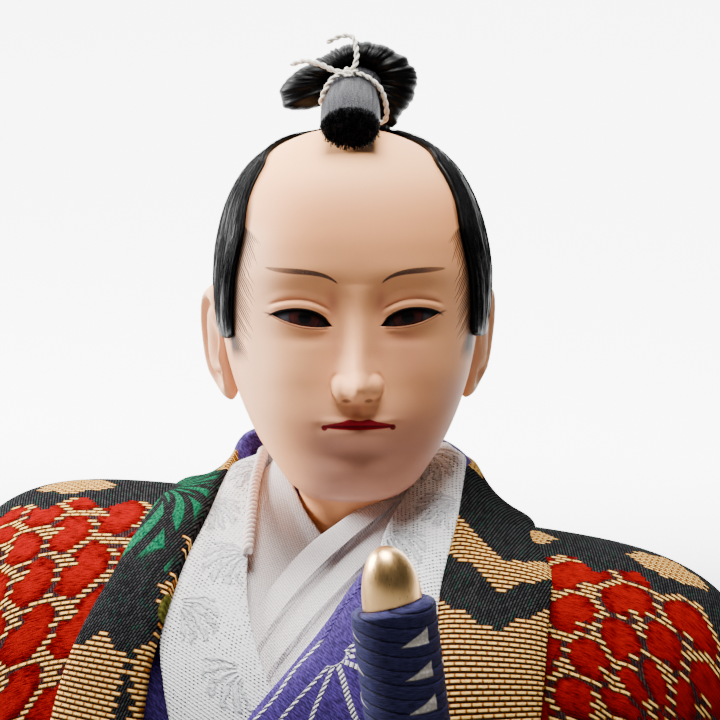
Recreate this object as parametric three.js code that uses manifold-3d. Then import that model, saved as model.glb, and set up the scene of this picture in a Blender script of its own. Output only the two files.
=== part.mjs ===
// A samurai doll, modelled as a bust: a smooth head with a shaved pate and a tied topknot,
// over crossed collars, a purple robe, a brocade vest and the upright hilt of a sword.
// Millimetres, +Z up. The doll faces -Y and +X is on the viewer's right.
// The origin is on the flat underside, below the neck.
import * as THREE from 'three';
import { mergeVertices } from 'three/addons/utils/BufferGeometryUtils.js';
import Module from 'manifold-3d';

const wasm = await Module();
wasm.setup();

// Driving dimensions
const GAP = 0.3;               // clearance between touching pieces
const SKIRT = 6;               // how far cloth runs on below the cut before it is trimmed

const HEAD_AT = [0.9, -0.9, 54.45];   // point between the ears, at the height of the eyes
const HEAD_YAW = 15;                  // degrees, the face turns towards +X
const HEAD_LIFT = 7;                  // degrees, the chin is a little raised
const SKULL_ROUNDNESS = 2.2;          // exponent of the head's level sections
const EYE_SPACING = 6.56;             // middle of the face to the middle of an eye
const EYE_HALF = [3.6, 1.5, 1.35];    // half sizes of a glass eye
const EYE_OPENING = [3.55, 1.9, 0.95];
const EYE_DEPTH = -13.9;              // head-local y of the middle of a glass eye
const HAIR_THICKNESS = 1.3;
const HAIR_INSIDE = 0.5;              // inner face of the hair, over the skull

const BODY_HALF_WIDTH = 50.7;  // of the stuffed body, without the vest
const BODY_FRONT = 28;
const BODY_BACK = 26;
const BODY_TOP = 25;
const SHOULDER_TILT = 0.075;   // the shoulder on +X is lower by this much per millimetre
const BODY_ROUNDNESS = 2.2;

const ROBE_OFFSET = 1.6;       // robe over the body
const VEST_INSIDE = 1.9;       // inner and outer face of the vest, over the body
const VEST_OUTSIDE = 3.3;
const VEST_OPENING = 21;       // half width of the vest's opening, under the lapels
const VEST_OPENING_BACK = 14;  // how far it reaches behind the neck
const VEST_PLEATS = [37, -41]; // x of the pleat folds
const PLEAT_DEPTH = 0.9;
const FOLD_WIDTH = 1.6;

const LAPEL_THICKNESS = 1.8;
const BROCADE_THICKNESS = 1.0;
const INNER_THICKNESS = 1.0;
const PANEL_THICKNESS = 3.0;
const COLLAR_GAP = 0.5;        // the pleated inner collar is cut round with a little more room
const CLEAR_ABOVE = 4;         // the robe is open above the collars that lie in its neck

const HILT_TOP = [13.9, -40.4, 27.4];   // where the wrapped grip ends and the pommel starts
const HILT_FOOT = [17.4, -37.0, -SKIRT];
const GRIP_HALF = [4.75, 5.3];
const POMMEL_HALF = [3.75, 4.4];
const POMMEL_HEIGHT = 7.2;
const WRAP_PITCH = 4.0;
const HILT_SIDES = 14;

const mix = (a, b, t) => a + (b - a) * t;
const clamp = (v, low, high) => Math.min(high, Math.max(low, v));
const smooth = (low, high, v) => {
  const t = clamp((v - low) / (high - low), 0, 1);
  return t * t * (3 - 2 * t);
};
const hill = (u, v) => Math.exp(-(u * u + v * v));
const power = (v, exponent) => Math.sign(v) * Math.abs(v) ** exponent;
const vector = (p) => new THREE.Vector3(...p);

// Straight steps through [position, value] pairs
function along(pairs, at) {
  if (at <= pairs[0][0]) return pairs[0][1];
  for (let i = 1; i < pairs.length; i += 1) {
    const [x0, v0] = pairs[i - 1];
    const [x1, v1] = pairs[i];
    if (at <= x1) return mix(v0, v1, (at - x0) / (x1 - x0));
  }
  return pairs[pairs.length - 1][1];
}

// A closed body through rings of equal length, with a flat fan over each end
function loft(rings) {
  const size = rings[0].length;
  const points = rings.flat();
  const triangles = [];
  for (let r = 0; r + 1 < rings.length; r += 1) {
    for (let i = 0; i < size; i += 1) {
      const a = r * size + i;
      const b = r * size + ((i + 1) % size);
      triangles.push(a, b, b + size, a, b + size, a + size);
    }
  }
  for (const [ring, turn] of [[0, 1], [rings.length - 1, -1]]) {
    const middle = new THREE.Vector3();
    rings[ring].forEach((p) => middle.add(p));
    points.push(middle.divideScalar(size));
    for (let i = 0; i < size; i += 1) {
      const a = ring * size + i;
      const b = ring * size + ((i + 1) % size);
      triangles.push(points.length - 1, turn > 0 ? b : a, turn > 0 ? a : b);
    }
  }
  const geometry = new THREE.BufferGeometry().setFromPoints(points);
  geometry.setIndex(volume(points, triangles) < 0 ? triangles.reverse() : triangles);
  return geometry;
}

function volume(points, triangles) {
  let six = 0;
  for (let i = 0; i < triangles.length; i += 3) {
    const [a, b, c] = [0, 1, 2].map((k) => points[triangles[i + k]]);
    six += a.dot(new THREE.Vector3().crossVectors(b, c));
  }
  return six;
}

// Between three.js geometry and a solid that can be joined and cut
function solid(geometry) {
  const bare = geometry.clone();
  bare.deleteAttribute('normal');
  bare.deleteAttribute('uv');
  const merged = mergeVertices(bare, 1e-4);
  return new wasm.Manifold(new wasm.Mesh({
    numProp: 3,
    vertProperties: new Float32Array(merged.attributes.position.array),
    triVerts: new Uint32Array(merged.index.array),
  }));
}

function geometryOf(body) {
  const mesh = body.getMesh();
  const geometry = new THREE.BufferGeometry();
  geometry.setAttribute('position', new THREE.BufferAttribute(mesh.vertProperties, 3));
  geometry.setIndex(new THREE.BufferAttribute(mesh.triVerts, 1));
  geometry.computeVertexNormals();
  return geometry;
}

const minus = (body, ...cutters) => cutters.reduce((left, cutter) => left.subtract(cutter), body);
const join = (...bodies) => bodies.reduce((sum, body) => sum.add(body));

// Where two cloth bands cross, a cut can leave a crumb: only the piece itself is kept
function largest(body) {
  const parts = body.decompose();
  return parts.reduce((best, part) => (part.volume() > best.volume() ? part : best));
}

function box(size, centre) {
  return solid(new THREE.BoxGeometry(...size).translate(...centre));
}

function ellipsoid(centre, half, turn = [0, 0, 0], sides = 14) {
  const ball = new THREE.SphereGeometry(1, sides, Math.round(sides * 0.7));
  ball.scale(...half);
  ball.applyMatrix4(new THREE.Matrix4().makeRotationFromEuler(new THREE.Euler(...turn)));
  return solid(ball.translate(...centre));
}

const belowTheCut = box([400, 400, 200], [0, 0, -100]);
const flatBelow = (body) => largest(body.subtract(belowTheCut));

// Head: level sections from the crown to the neck, each given by its front and back
// point (y, z) and its half width
const SKULL = [
  [-0.5, 22.5, 3.5, 22.5, 2],
  [-4, 22.0, 7, 22.0, 5],
  [-8.5, 20.5, 12, 20.0, 9],
  [-12.6, 17.6, 16, 16.9, 12.4],
  [-15.3, 14.2, 18.4, 12.8, 14.6],
  [-16.9, 10.4, 19.6, 8, 15.8],
  [-17.5, 7, 19.8, 3.5, 16.2],
  [-17.4, 3.6, 19.2, 0, 16.15],
  [-16.8, 0, 18, -3.5, 15.9],
  [-16.8, -4, 16, -6.5, 15.3],
  [-17.1, -8, 14, -9, 14.4],
  [-17.2, -12, 12.2, -11.5, 13.2],
  [-16.3, -16, 11.4, -14, 11.7],
  [-15.7, -19.2, 10.8, -16.5, 9.9],
  [-14.0, -21.6, 10.2, -18.5, 8.3],
  [-10.6, -22.7, 9.8, -20.5, 6.9],
  [-6.2, -23.4, 9.8, -22.5, 6.4],
  [-4.0, -25.4, 10.0, -25, 6.3],
  [-3.0, -29, 10.6, -29, 6.5],
  [-1.8, -36, 12.0, -36, 6.9],
];

// Height of the nose ridge and half width of the nose, by height on the face
const NOSE_RIDGE = [[-12, 0], [-10.4, 0.2], [-9.9, 1.6], [-8.8, 4.2], [-8, 4.3], [-5, 2.9],
  [-2, 1.5], [0.5, 0.6], [4, 0]];
const NOSE_WIDTH = [[-9, 1.9], [-5, 1.5], [0, 1.5], [4, 2.2]];

// How far the face stands out of the plain skull
function relief(x, z) {
  const side = Math.abs(x);
  const nose = along(NOSE_RIDGE, z) * Math.exp(-((x / along(NOSE_WIDTH, z)) ** 2));
  const wings = 1.9 * hill((side - 2.1) / 1.25, (z + 8.6) / 1.5);
  const sockets = -0.9 * hill((side - 6) / 4, (z - 1.9) / 2.7)
    - 0.6 * hill((side - 3) / 1.5, (z - 0.6) / 2.2);
  const lids = 0.9 * hill((side - 6.7) / 3.7, (z - 0.4) / 1.7);
  const brow = 0.25 * hill((side - 6.5) / 5, (z - 5) / 1.6);
  const mouth = 0.6 * hill(x / 5.5, (z + 13) / 3.2) + 0.7 * hill(x / 3.4, (z + 12.6) / 0.8)
    + 0.8 * hill(x / 2.9, (z + 14.8) / 1.1) - 0.5 * hill(x / 4.2, (z + 13.6) / 0.35);
  const chin = 0.6 * hill(x / 3.6, (z + 19.3) / 2.2) - 0.4 * hill(x / 4, (z + 16.8) / 0.9);
  const cheeks = 0.35 * hill((side - 8) / 3.5, (z + 6) / 3.5);
  return Math.max(nose, wings) + sockets + lids + brow + mouth + chin + cheeks;
}

// One section of the head, from the list above, at a fractional row
function skullRow(row) {
  const k = clamp(Math.floor(row), 0, SKULL.length - 2);
  const t = row - k;
  const before = SKULL[Math.max(k - 1, 0)];
  const after = SKULL[Math.min(k + 2, SKULL.length - 1)];
  return SKULL[k].map((value, i) => {
    const next = SKULL[k + 1][i];
    const slope0 = (next - before[i]) / 2;
    const slope1 = (after[i] - value) / 2;
    const t2 = t * t;
    const t3 = t2 * t;
    return (2 * t3 - 3 * t2 + 1) * value + (t3 - 2 * t2 + t) * slope0
      + (3 * t2 - 2 * t3) * next + (t3 - t2) * slope1;
  });
}

function skullPoint(row, angle, grow, face) {
  const [frontY, frontZ, backY, backZ, half] = skullRow(row);
  const depth = (backY - frontY) / 2;
  const roundness = 2 / SKULL_ROUNDNESS;
  const along0 = power(Math.cos(angle), roundness);
  const x = (half + grow) * power(Math.sin(angle), roundness);
  const y = (frontY + backY) / 2 - (depth + grow) * along0;
  const z = mix(backZ, frontZ, (1 + along0) / 2);
  const top = grow * smooth(12, 22, z);
  const forward = face ? relief(x, z) * smooth(-0.1, 0.35, along0) : 0;
  return new THREE.Vector3(x, y - forward, z + top);
}

// Angles round a section, closer together over the face
function headAngles(count) {
  return Array.from({ length: count }, (_, i) => {
    const t = (2 * Math.PI * i) / count;
    return t - 0.62 * Math.sin(t);
  });
}

const FACE_ROWS = [0, 0.9, 1.9, 3.1, 4.5, 6, 6.9, 7.6, 8.1, 8.6, 9.2, 9.7, 10.1, 10.45, 10.8,
  11.1, 11.35, 11.6, 12.1, 12.7, 13.4, 14.3, 15.4, 17, 19];
const HEAD_SIDES = 28;

function ears(grow) {
  const halves = [-1, 1].map((side) => {
    const shell = ellipsoid([side * 15.6, 3.0, -3.9], [1.9 + grow, 3.7 + grow, 7.6 + grow],
      [0.12, side * 0.16, -side * 0.35], 10);
    if (grow) return shell;
    const hollow = ellipsoid([side * 17.8, 2.3, -3], [1.5, 2.2, 4.6],
      [0.12, side * 0.16, -side * 0.35], 8);
    return shell.subtract(hollow);
  });
  return join(...halves);
}

function headBody(grow = 0) {
  const angles = headAngles(HEAD_SIDES);
  const rings = FACE_ROWS.map((row) => angles.map((angle) => skullPoint(row, angle, grow, !grow)));
  return join(solid(loft(rings)), ears(grow));
}

function eye(side, grow = 0) {
  return ellipsoid([side * EYE_SPACING, EYE_DEPTH, 0], EYE_HALF.map((v) => v + grow),
    [0, 0, side * 0.12], 9);
}

function eyeOpening(side) {
  return ellipsoid([side * EYE_SPACING, EYE_DEPTH - 1.5, 0], EYE_OPENING, [0, 0, side * 0.12], 9);
}

// Hair: a cap on the sides and the back of the skull that leaves the pate bare. Its front
// edge runs down from behind the crown, in degrees from the face, by row of the skull, and
// its lower edge is a row of the skull, by degrees from the face.
const HAIRLINE = [[0.6, 150], [1, 122], [2, 86], [3, 71], [4, 63.5], [5, 59.5], [6, 63], [7, 67],
  [8, 73]];
const HAIR_BELOW = [[70, 8.1], [78, 8.35], [92, 7.7], [106, 7.5], [114, 8.8], [130, 10.6],
  [180, 11.6]];
const HAIR_LEVELS = 10;
const HAIR_COLUMNS = 17;

function hair(grow = 0) {
  const rings = [];
  for (let level = 0; level <= HAIR_LEVELS; level += 1) {
    const share = level / HAIR_LEVELS;
    const start = along(HAIRLINE, mix(0.6, 8, share)) - 2 * grow;
    const spots = Array.from({ length: HAIR_COLUMNS + 1 }, (_, i) => {
      const turn = mix(start, 360 - start, i / HAIR_COLUMNS);
      const degrees = 180 - Math.abs(180 - turn);
      const row = mix(0.6 - 0.2 * grow, along(HAIR_BELOW, degrees) + 0.3 * grow, share);
      const edge = Math.abs((2 * i) / HAIR_COLUMNS - 1) ** 8;
      const wing = 0.35 * hill((degrees - 88) / 24, (row - 6.6) / 1.8);
      const thick = (HAIR_THICKNESS + wing) * (1 - 0.45 * edge) * (level ? 1 : 0.7);
      return { row, angle: THREE.MathUtils.degToRad(turn), thick };
    });
    rings.push([
      ...spots.map(({ row, angle, thick }) => skullPoint(row, angle, thick + grow, false)),
      ...spots.reverse().map(({ row, angle }) => skullPoint(row, angle, HAIR_INSIDE - grow, false)),
    ]);
  }
  return solid(loft(rings));
}

// Topknot: the bundle rises from the crown, folds into a fan and comes forward as a tail
const TIE_AT = [0.5, -0.6, 26.9];
const TAIL = [
  { at: [-0.3, -10.4, 22.7], half: [3.6, 2.6] },
  { at: [-0.1, -7.6, 24.2], half: [3.65, 2.65] },
  { at: [0.3, -3.8, 25.8], half: [3.5, 2.6] },
  { at: TIE_AT, half: [3.0, 2.3] },
  { at: [0.9, 4.2, 28.2], half: [4.2, 2.6] },
];
const TAIL_ACROSS = new THREE.Vector3(1, 0, 0);
const TAIL_UP = new THREE.Vector3()
  .crossVectors(vector(TIE_AT).sub(vector(TAIL[0].at)), TAIL_ACROSS).normalize();

// A ring of points round the tail
const tailRing = (at, half, count) => Array.from({ length: count }, (_, i) => {
  const t = (2 * Math.PI * i) / count;
  return vector(at).addScaledVector(TAIL_ACROSS, half[0] * Math.cos(t))
    .addScaledVector(TAIL_UP, half[1] * Math.sin(t));
});

const tail = () => solid(loft(TAIL.map(({ at, half }) => tailRing(at, half, 12))));

function topknot(cutters) {
  const fan = join(
    ellipsoid([-5.2, 4.8, 27.0], [3.3, 2.6, 2.5], [0, 0.25, 0.1], 8),
    ellipsoid([-1.6, 5.0, 29.4], [4.6, 2.9, 3.3], [0, -0.5, 0], 9),
    ellipsoid([3.2, 4.8, 30.2], [4.6, 3.1, 3.9], [0, 0.1, 0], 9),
    ellipsoid([5.9, 4.4, 28.3], [3.0, 2.9, 5.3], [0, 0.38, 0], 9),
  );
  const root = ellipsoid([1.4, 6.2, 24.2], [4.4, 3.4, 4.6], [0.25, 0.1, 0], 9);
  return minus(join(fan, root, tail()), ...cutters);
}

// A round cord along a path of points
function cord(points, radius, closed, steps, sides = 5) {
  const path = new THREE.CatmullRomCurve3(points.map(vector), closed);
  const frames = path.computeFrenetFrames(steps, closed);
  const rings = Array.from({ length: closed ? steps : steps + 1 }, (_, k) => {
    const middle = path.getPointAt(k / steps);
    return Array.from({ length: sides }, (__, i) => {
      const t = (2 * Math.PI * i) / sides;
      return middle.clone().addScaledVector(frames.normals[k], radius * Math.cos(t))
        .addScaledVector(frames.binormals[k], radius * Math.sin(t));
    });
  });
  return closed ? ringLoft(rings) : solid(loft(rings));
}

// A closed loop of rings has no ends, so it is lofted as two half turns that overlap a little
function ringLoft(rings) {
  const half = Math.floor(rings.length / 2);
  const first = rings.slice(0, half + 1);
  const second = [...rings.slice(half - 1), rings[0], rings[1]];
  return join(solid(loft(first)), solid(loft(second)));
}

const TIE_RADIUS = 0.36;
const TIE_LOOP = [3.4, 2.75];
const TIE_ENDS = [
  [[-1.5, 0.3, 30.3], [-4.2, 2.0, 31.0], [-6.2, 2.6, 30.9]],
  [[1.6, 0.9, 31.6], [1.2, 2.6, 33.4], [-1.8, 3.2, 33.8]],
];

function tie(grow = 0) {
  const knot = vector(TIE_AT).addScaledVector(TAIL_UP, TIE_LOOP[1]).toArray();
  const loop = tailRing(TIE_AT, TIE_LOOP, 10).map((p) => p.toArray());
  const ends = TIE_ENDS.map((end) => cord([knot, ...end], TIE_RADIUS + grow, false, 6));
  return join(
    cord(loop, TIE_RADIUS + grow, true, 12),
    ...ends,
    ellipsoid(knot, [1.0 + grow, 0.7 + grow, 0.7 + grow], [0, 0, 0], 7),
  );
}

// Body: rounded sections across the shoulders, at a distance from the stuffed body
const ENDS = [0.9993, 0.985, 0.95, 0.89];      // sections near the sides, as shares of the reach
const MIDDLES = [-33, -22, -11, 0, 11, 22, 32];
const BODY_STEPS = 12;

function bodyShape(offset, folds = [], fold = () => 0) {
  const reach = BODY_HALF_WIDTH + offset;
  const ends = ENDS.flatMap((share) => [-share * reach, share * reach]);
  const stations = [...ends, ...folds, ...MIDDLES].sort((a, b) => a - b);
  const rings = [];
  for (const x of stations) {
    const out = Math.abs(x) / reach;
    const roll = (1 - out ** 7) ** (1 / BODY_ROUNDNESS);
    const narrow = (Math.abs(x) / BODY_HALF_WIDTH) ** 2.4;
    const own = offset + fold(x);
    const front = (BODY_FRONT * (1 - 0.62 * Math.min(narrow, 1)) + own) * roll ** 0.35;
    const back = (BODY_BACK * (1 - 0.5 * Math.min(narrow, 1)) + offset) * roll ** 0.35;
    const top = (BODY_TOP - SHOULDER_TILT * x + offset) * roll;
    const ring = [];
    for (let i = 0; i <= BODY_STEPS; i += 1) {
      const t = (Math.PI * i) / BODY_STEPS;
      const y = -power(Math.cos(t), 2 / BODY_ROUNDNESS) * (i * 2 < BODY_STEPS ? front : back);
      ring.push(new THREE.Vector3(x, y, top * power(Math.sin(t), 2 / BODY_ROUNDNESS)));
    }
    ring.push(new THREE.Vector3(x, back, -SKIRT), new THREE.Vector3(x, -front, -SKIRT));
    rings.push(ring);
  }
  return solid(loft(rings));
}

// A band of cloth between two edges, each a list of points that match one by one
function band(inner, outer, style) {
  const { thickness, steps, across, grow = 0, above = 0, sag = () => 0, pleat = () => 0 } = style;
  const edgeA = new THREE.CatmullRomCurve3(inner.map(vector));
  const edgeB = new THREE.CatmullRomCurve3(outer.map(vector));
  const core = new THREE.Vector3(0, 0, 6);
  const rings = [];
  for (let k = 0; k <= steps; k += 1) {
    const t = k / steps;
    const a = edgeA.getPoint(t);
    const b = edgeB.getPoint(t);
    const tangent = edgeA.getTangent(t).add(edgeB.getTangent(t)).normalize();
    const width = b.clone().sub(a).normalize();
    const normal = new THREE.Vector3().crossVectors(width, tangent).normalize();
    if (normal.dot(a.clone().add(b).multiplyScalar(0.5).sub(core)) < 0) normal.negate();
    const end = (k === 0 ? -grow : 0) + (k === steps ? grow : 0);
    const front = [];
    const back = [];
    for (let i = 0; i <= across; i += 1) {
      const u = i / across;
      const spot = a.clone().lerp(b, u).addScaledVector(width, grow * (2 * u - 1))
        .addScaledVector(tangent, end);
      const lift = 4 * u * (1 - u) * sag(t);
      const rounded = 0.25 * thickness * (2 * u - 1) ** 8;
      front.push(spot.clone().addScaledVector(normal, lift + pleat(u, t) + grow + above - rounded));
      back.unshift(spot.clone().addScaledVector(normal, lift - thickness - grow));
    }
    rings.push([...front, ...back]);
  }
  return solid(loft(rings));
}

// Inner collar, of plain white cloth: the viewer's right side lies over the left side
const INNER_LEFT = {
  inner: [[0, 9.2, 36.4], [-6.5, 7.2, 36.2], [-8.8, 2, 35.3], [-7.6, -2, 34.3], [-5.4, -5.2, 32.4],
    [-3.3, -7.4, 30.0], [-1.2, -9.0, 28.0], [1.2, -10.8, 25.6], [0.4, -15.6, 22.6],
    [-2, -20.6, 18.4], [-4, -24, 14.4]],
  outer: [[0, 10.6, 31], [-8, 8.6, 31], [-12.6, 3, 31.2], [-13.2, -3, 29.4], [-12.8, -8, 27.4],
    [-12, -12.4, 25], [-11, -15.8, 22.8], [-9.8, -18.8, 20.4], [-8.4, -21.8, 17.4],
    [-6.8, -24.6, 13.6]],
};
const INNER_RIGHT = {
  inner: [[0, 9.2, 36.4], [7, 7.2, 36.6], [9.9, 3, 36.6], [9.2, -1.2, 35.5], [7.7, -4.2, 34.2],
    [4.8, -7.4, 32.3], [1.1, -9.8, 29.7], [-1.5, -11.4, 27.8], [-4.2, -15, 25.0],
    [-6.6, -19.6, 21.2], [-7.6, -22.6, 17.8]],
  outer: [[0, 10.6, 31], [8.5, 8.6, 31.5], [12.6, 5, 33], [13, -3, 31.4], [12.4, -8.4, 29.2],
    [11, -13.6, 26.6], [9, -17.6, 24.0], [6.6, -21, 21.0], [4, -23.8, 18.2],
    [1.4, -25.6, 15.4], [-1.2, -26.8, 12.8]],
};

function innerCollar(grow = 0, above = 0) {
  const fan = (u, t) => 0.22 * Math.sin(4 * Math.PI * u) * smooth(0.2, 0.5, t);
  const folds = (u, t) => 0.4 * ((3 * u) % 1 - 0.5) * smooth(0.2, 0.4, t);
  const style = { thickness: INNER_THICKNESS, across: grow ? 2 : 6, grow, above };
  return join(
    band(INNER_LEFT.inner, INNER_LEFT.outer, { ...style, steps: 10, pleat: grow ? undefined : fan }),
    band(INNER_RIGHT.inner, INNER_RIGHT.outer, { ...style, steps: 11, pleat: grow ? undefined : folds }),
  );
}

// Brocade collar, white: the left side runs under the purple panel, the right side over it
const BROCADE_LEFT = {
  inner: [[0, 11.8, 34.6], [-8, 10, 34.6], [-11.9, 6.6, 34.8], [-11.4, 3, 34.4], [-10.8, -4, 31.8],
    [-9.6, -11, 28.6], [-8.7, -16.4, 25.2], [-7.4, -21, 21.4], [-5.4, -25, 17.2],
    [-2.6, -28, 12], [-0.6, -29.8, 6], [0.4, -31, -SKIRT]],
  outer: [[0, 12.8, 29.5], [-9, 11, 29.5], [-13.6, 7.4, 30.5], [-15.4, 3, 33.2],
    [-15.7, -3, 31.9], [-16.1, -9.6, 28.9], [-16.8, -16.8, 25.4], [-17.5, -21.6, 21.8],
    [-17.3, -25.4, 17.2], [-16, -28.4, 12.4], [-14.4, -30.4, 6], [-13.2, -31.6, -SKIRT]],
};
const BROCADE_RIGHT = {
  inner: [[0, 11.8, 34.6], [8, 10, 35.4], [12, 6.6, 36.6], [11.7, 3, 36.9], [9.8, -4, 34.0],
    [8.6, -9.2, 31.6], [7.9, -13.8, 29.4], [8.1, -18.6, 26.2], [9.3, -23.6, 22],
    [11.4, -28, 16.4], [13.4, -30.8, 10], [15.6, -32.4, 3], [16.6, -33, -SKIRT]],
  outer: [[0, 12.8, 29.5], [9, 11, 30], [13.6, 7.4, 32], [15.1, 3, 35.5], [15.6, -2, 33.1],
    [16.1, -9, 30.6], [16.1, -15, 27.8], [16, -20.2, 24.2], [16.6, -25, 19.8],
    [17.6, -28.6, 15], [18.4, -31, 9], [19, -32.8, 2], [19.4, -33.4, -SKIRT]],
};

function brocadeSide(edges, grow = 0, above = 0) {
  return band(edges.inner, edges.outer,
    { thickness: BROCADE_THICKNESS, steps: 12, across: 2, grow, above, sag: () => 0.25 });
}

const brocadeCollar = (grow) => join(brocadeSide(BROCADE_LEFT, grow), brocadeSide(BROCADE_RIGHT, grow));

// Vest collar: one padded band round the back of the neck and down both sides of the chest
const LAPEL = {
  inner: [[-19.2, -33.4, -SKIRT], [-19, -32.4, 4], [-18.7, -31.1, 9.3], [-18.1, -28.8, 15.8],
    [-17.3, -26.4, 19.9], [-16.6, -22.4, 24.0], [-16, -16, 27.8], [-15.4, -8.6, 30.8],
    [-15.3, -1, 33.4], [-15.4, 4, 34.8], [-15.8, 9.8, 35], [-9.8, 16, 35], [0, 18, 35],
    [9.8, 16, 35.2], [14.9, 10.4, 35.5], [15.4, 4, 35.5], [15.9, -1, 33.7], [16.3, -8.6, 31.0],
    [16.2, -16, 27.2], [16.1, -21.4, 23.2], [16.8, -25.4, 19.4], [18, -28.6, 15.2],
    [18.9, -30.8, 10], [19.5, -32.4, 4], [19.7, -33.4, -SKIRT]],
  outer: [[-31.6, -29.6, -SKIRT], [-31, -29.2, 4], [-30, -28, 10], [-28.2, -26.6, 16.2],
    [-26.4, -24.6, 20.6], [-24.5, -21.4, 24.6], [-23.2, -16.4, 28.2], [-22.4, -8.6, 30.8],
    [-22.2, -2, 31.4], [-22, 5, 31], [-21, 13, 28.6], [-13.4, 20, 24.6], [0, 22.6, 22.6],
    [14.4, 20, 24], [23.2, 12.6, 26.2], [25.6, 5, 26.8], [26.8, -2, 26.9], [27.8, -8.6, 26.8],
    [28.8, -15, 25.4], [29.2, -19.6, 22.4], [29.5, -23.4, 18.6], [29.6, -25.8, 15],
    [29.5, -27.8, 10.6], [29.3, -29.4, 4], [29.2, -30.2, -SKIRT]],
};

function vestCollar(grow = 0) {
  const sag = (t) => mix(0.5, -1.3, smooth(0.26, 0.4, t) * smooth(0.76, 0.6, t));
  return band(LAPEL.inner, LAPEL.outer,
    { thickness: LAPEL_THICKNESS, steps: 26, across: 3, grow, sag });
}

function vest() {
  const fold = (x) => -PLEAT_DEPTH * VEST_PLEATS.reduce(
    (sum, at) => sum + hill((1.6 * (x - at)) / FOLD_WIDTH, 0), 0);
  const folds = VEST_PLEATS.flatMap((at) => [at - FOLD_WIDTH, at, at + FOLD_WIDTH]);
  const opening = join(
    box([2 * VEST_OPENING, 80, 120], [0, -38, 20]),
    solid(new THREE.CylinderGeometry(VEST_OPENING, VEST_OPENING, 120, 24)
      .rotateX(Math.PI / 2).scale(1, VEST_OPENING_BACK / VEST_OPENING, 1).translate(0, 2, 20)),
  );
  return minus(bodyShape(VEST_OUTSIDE, folds, fold), bodyShape(VEST_INSIDE), opening);
}

// Robe: the clothed body, a mound under the collars, a roll behind the neck and the
// panel that crosses the chest
const PANEL = {
  inner: [[8.4, -15, 29.0], [7.4, -17, 27.6], [5, -20.2, 24.4], [2.9, -23.8, 21], [-0.7, -27.8, 16.1],
    [-4.8, -30.3, 10.8], [-8.6, -32, 4.5], [-12, -33, -SKIRT]],
  outer: [[12.4, -13.4, 28.4], [13.6, -16.6, 26.6], [15.6, -20.6, 22.8], [17.4, -24.4, 18.8],
    [19.2, -27, 14.6], [20.2, -28.8, 10.6], [20.6, -30, 4.5], [20.6, -30.8, -SKIRT]],
};
const ROLL = {
  inner: [[-15.4, 3.2, 33.4], [-15.5, 8.4, 36.0], [-9.8, 13.8, 37], [0, 15.6, 37],
    [9.8, 13.8, 35.6], [14.6, 9, 34], [14.8, 5, 32.6]],
  outer: [[-15.6, 3.2, 27], [-15.7, 8.6, 27], [-10, 14, 27], [0, 15.8, 27], [10, 14, 27],
    [15, 9, 27], [15.2, 5, 27]],
};
const MOUND = [
  [-22, 15, 18, 14],
  [-18, 15, 18.4, 22],
  [-14, 15, 18.2, 27],
  [-9.6, 14.6, 16.6, 30],
  [-6.4, 13.6, 14.6, 32.6],
];

function mound() {
  const rings = MOUND.map(([front, back, half, height], level) => Array.from({ length: 16 }, (_, i) => {
    const t = (2 * Math.PI * i) / 16;
    const y = mix(front, back, (1 - Math.cos(t)) / 2);
    const dip = level * 1.35 * smooth(4, -9, y);
    return new THREE.Vector3(half * Math.sin(t), y, height - dip);
  }));
  return solid(loft(rings));
}

function robe(cutters) {
  const panel = band(PANEL.inner, PANEL.outer,
    { thickness: PANEL_THICKNESS, steps: 9, across: 3, sag: () => 0.7 });
  const roll = band(ROLL.inner, ROLL.outer, { thickness: 2.2, steps: 10, across: 2 });
  const bare = minus(join(bodyShape(ROBE_OFFSET), mound()),
    innerCollar(COLLAR_GAP, CLEAR_ABOVE), brocadeSide(BROCADE_LEFT, GAP, CLEAR_ABOVE));
  return minus(join(bare, panel, roll), ...cutters);
}

// Sword hilt: an oval grip with crossing wraps, and a domed metal pommel on top
function hiltAxis(height) {
  const t = (height - HILT_FOOT[2]) / (HILT_TOP[2] - HILT_FOOT[2]);
  return vector(HILT_FOOT).lerp(vector(HILT_TOP), t);
}

function ovalRing(height, half, lift = () => 0) {
  const middle = hiltAxis(height);
  return Array.from({ length: HILT_SIDES }, (_, i) => {
    const t = (2 * Math.PI * i) / HILT_SIDES;
    const out = 1 + lift(t, height);
    return new THREE.Vector3(middle.x + half[0] * out * Math.cos(t),
      middle.y + half[1] * out * Math.sin(t), height);
  });
}

// The wrap is low where two turns part and show the skin below
function wrapLift(angle, height) {
  const onSide = Math.abs(Math.cos(angle)) ** 3;
  const diamond = Math.sin((Math.PI * (HILT_TOP[2] - height)) / WRAP_PITCH) ** 2;
  return -0.1 * onSide * (1 - diamond);
}

function swordGrip(grow = 0) {
  const half = GRIP_HALF.map((v) => v + grow);
  const rings = [ovalRing(HILT_TOP[2] + grow, half.map((v) => v * 0.985))];
  for (let down = WRAP_PITCH / 2; down < HILT_TOP[2] + SKIRT; down += WRAP_PITCH / 2) {
    rings.push(ovalRing(HILT_TOP[2] - down, half, grow ? undefined : wrapLift));
  }
  return solid(loft(rings));
}

function swordPommel() {
  const base = HILT_TOP[2] + GAP;
  const rings = [0, 0.28, 0.5, 0.7, 0.86, 0.96, 1].map((t) => {
    const narrow = Math.max(0.06, (1 - t ** 2.6) ** (1 / 2.3));
    return ovalRing(base + t * POMMEL_HEIGHT, POMMEL_HALF.map((v) => v * narrow));
  });
  return solid(loft(rings));
}

// Each piece as a named mesh with its own finish
function piece(name, body, colour, roughness, metalness = 0) {
  const material = new THREE.MeshStandardMaterial({ color: colour, roughness, metalness });
  const mesh = new THREE.Mesh(geometryOf(body), material);
  mesh.name = name;
  return mesh;
}

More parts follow.
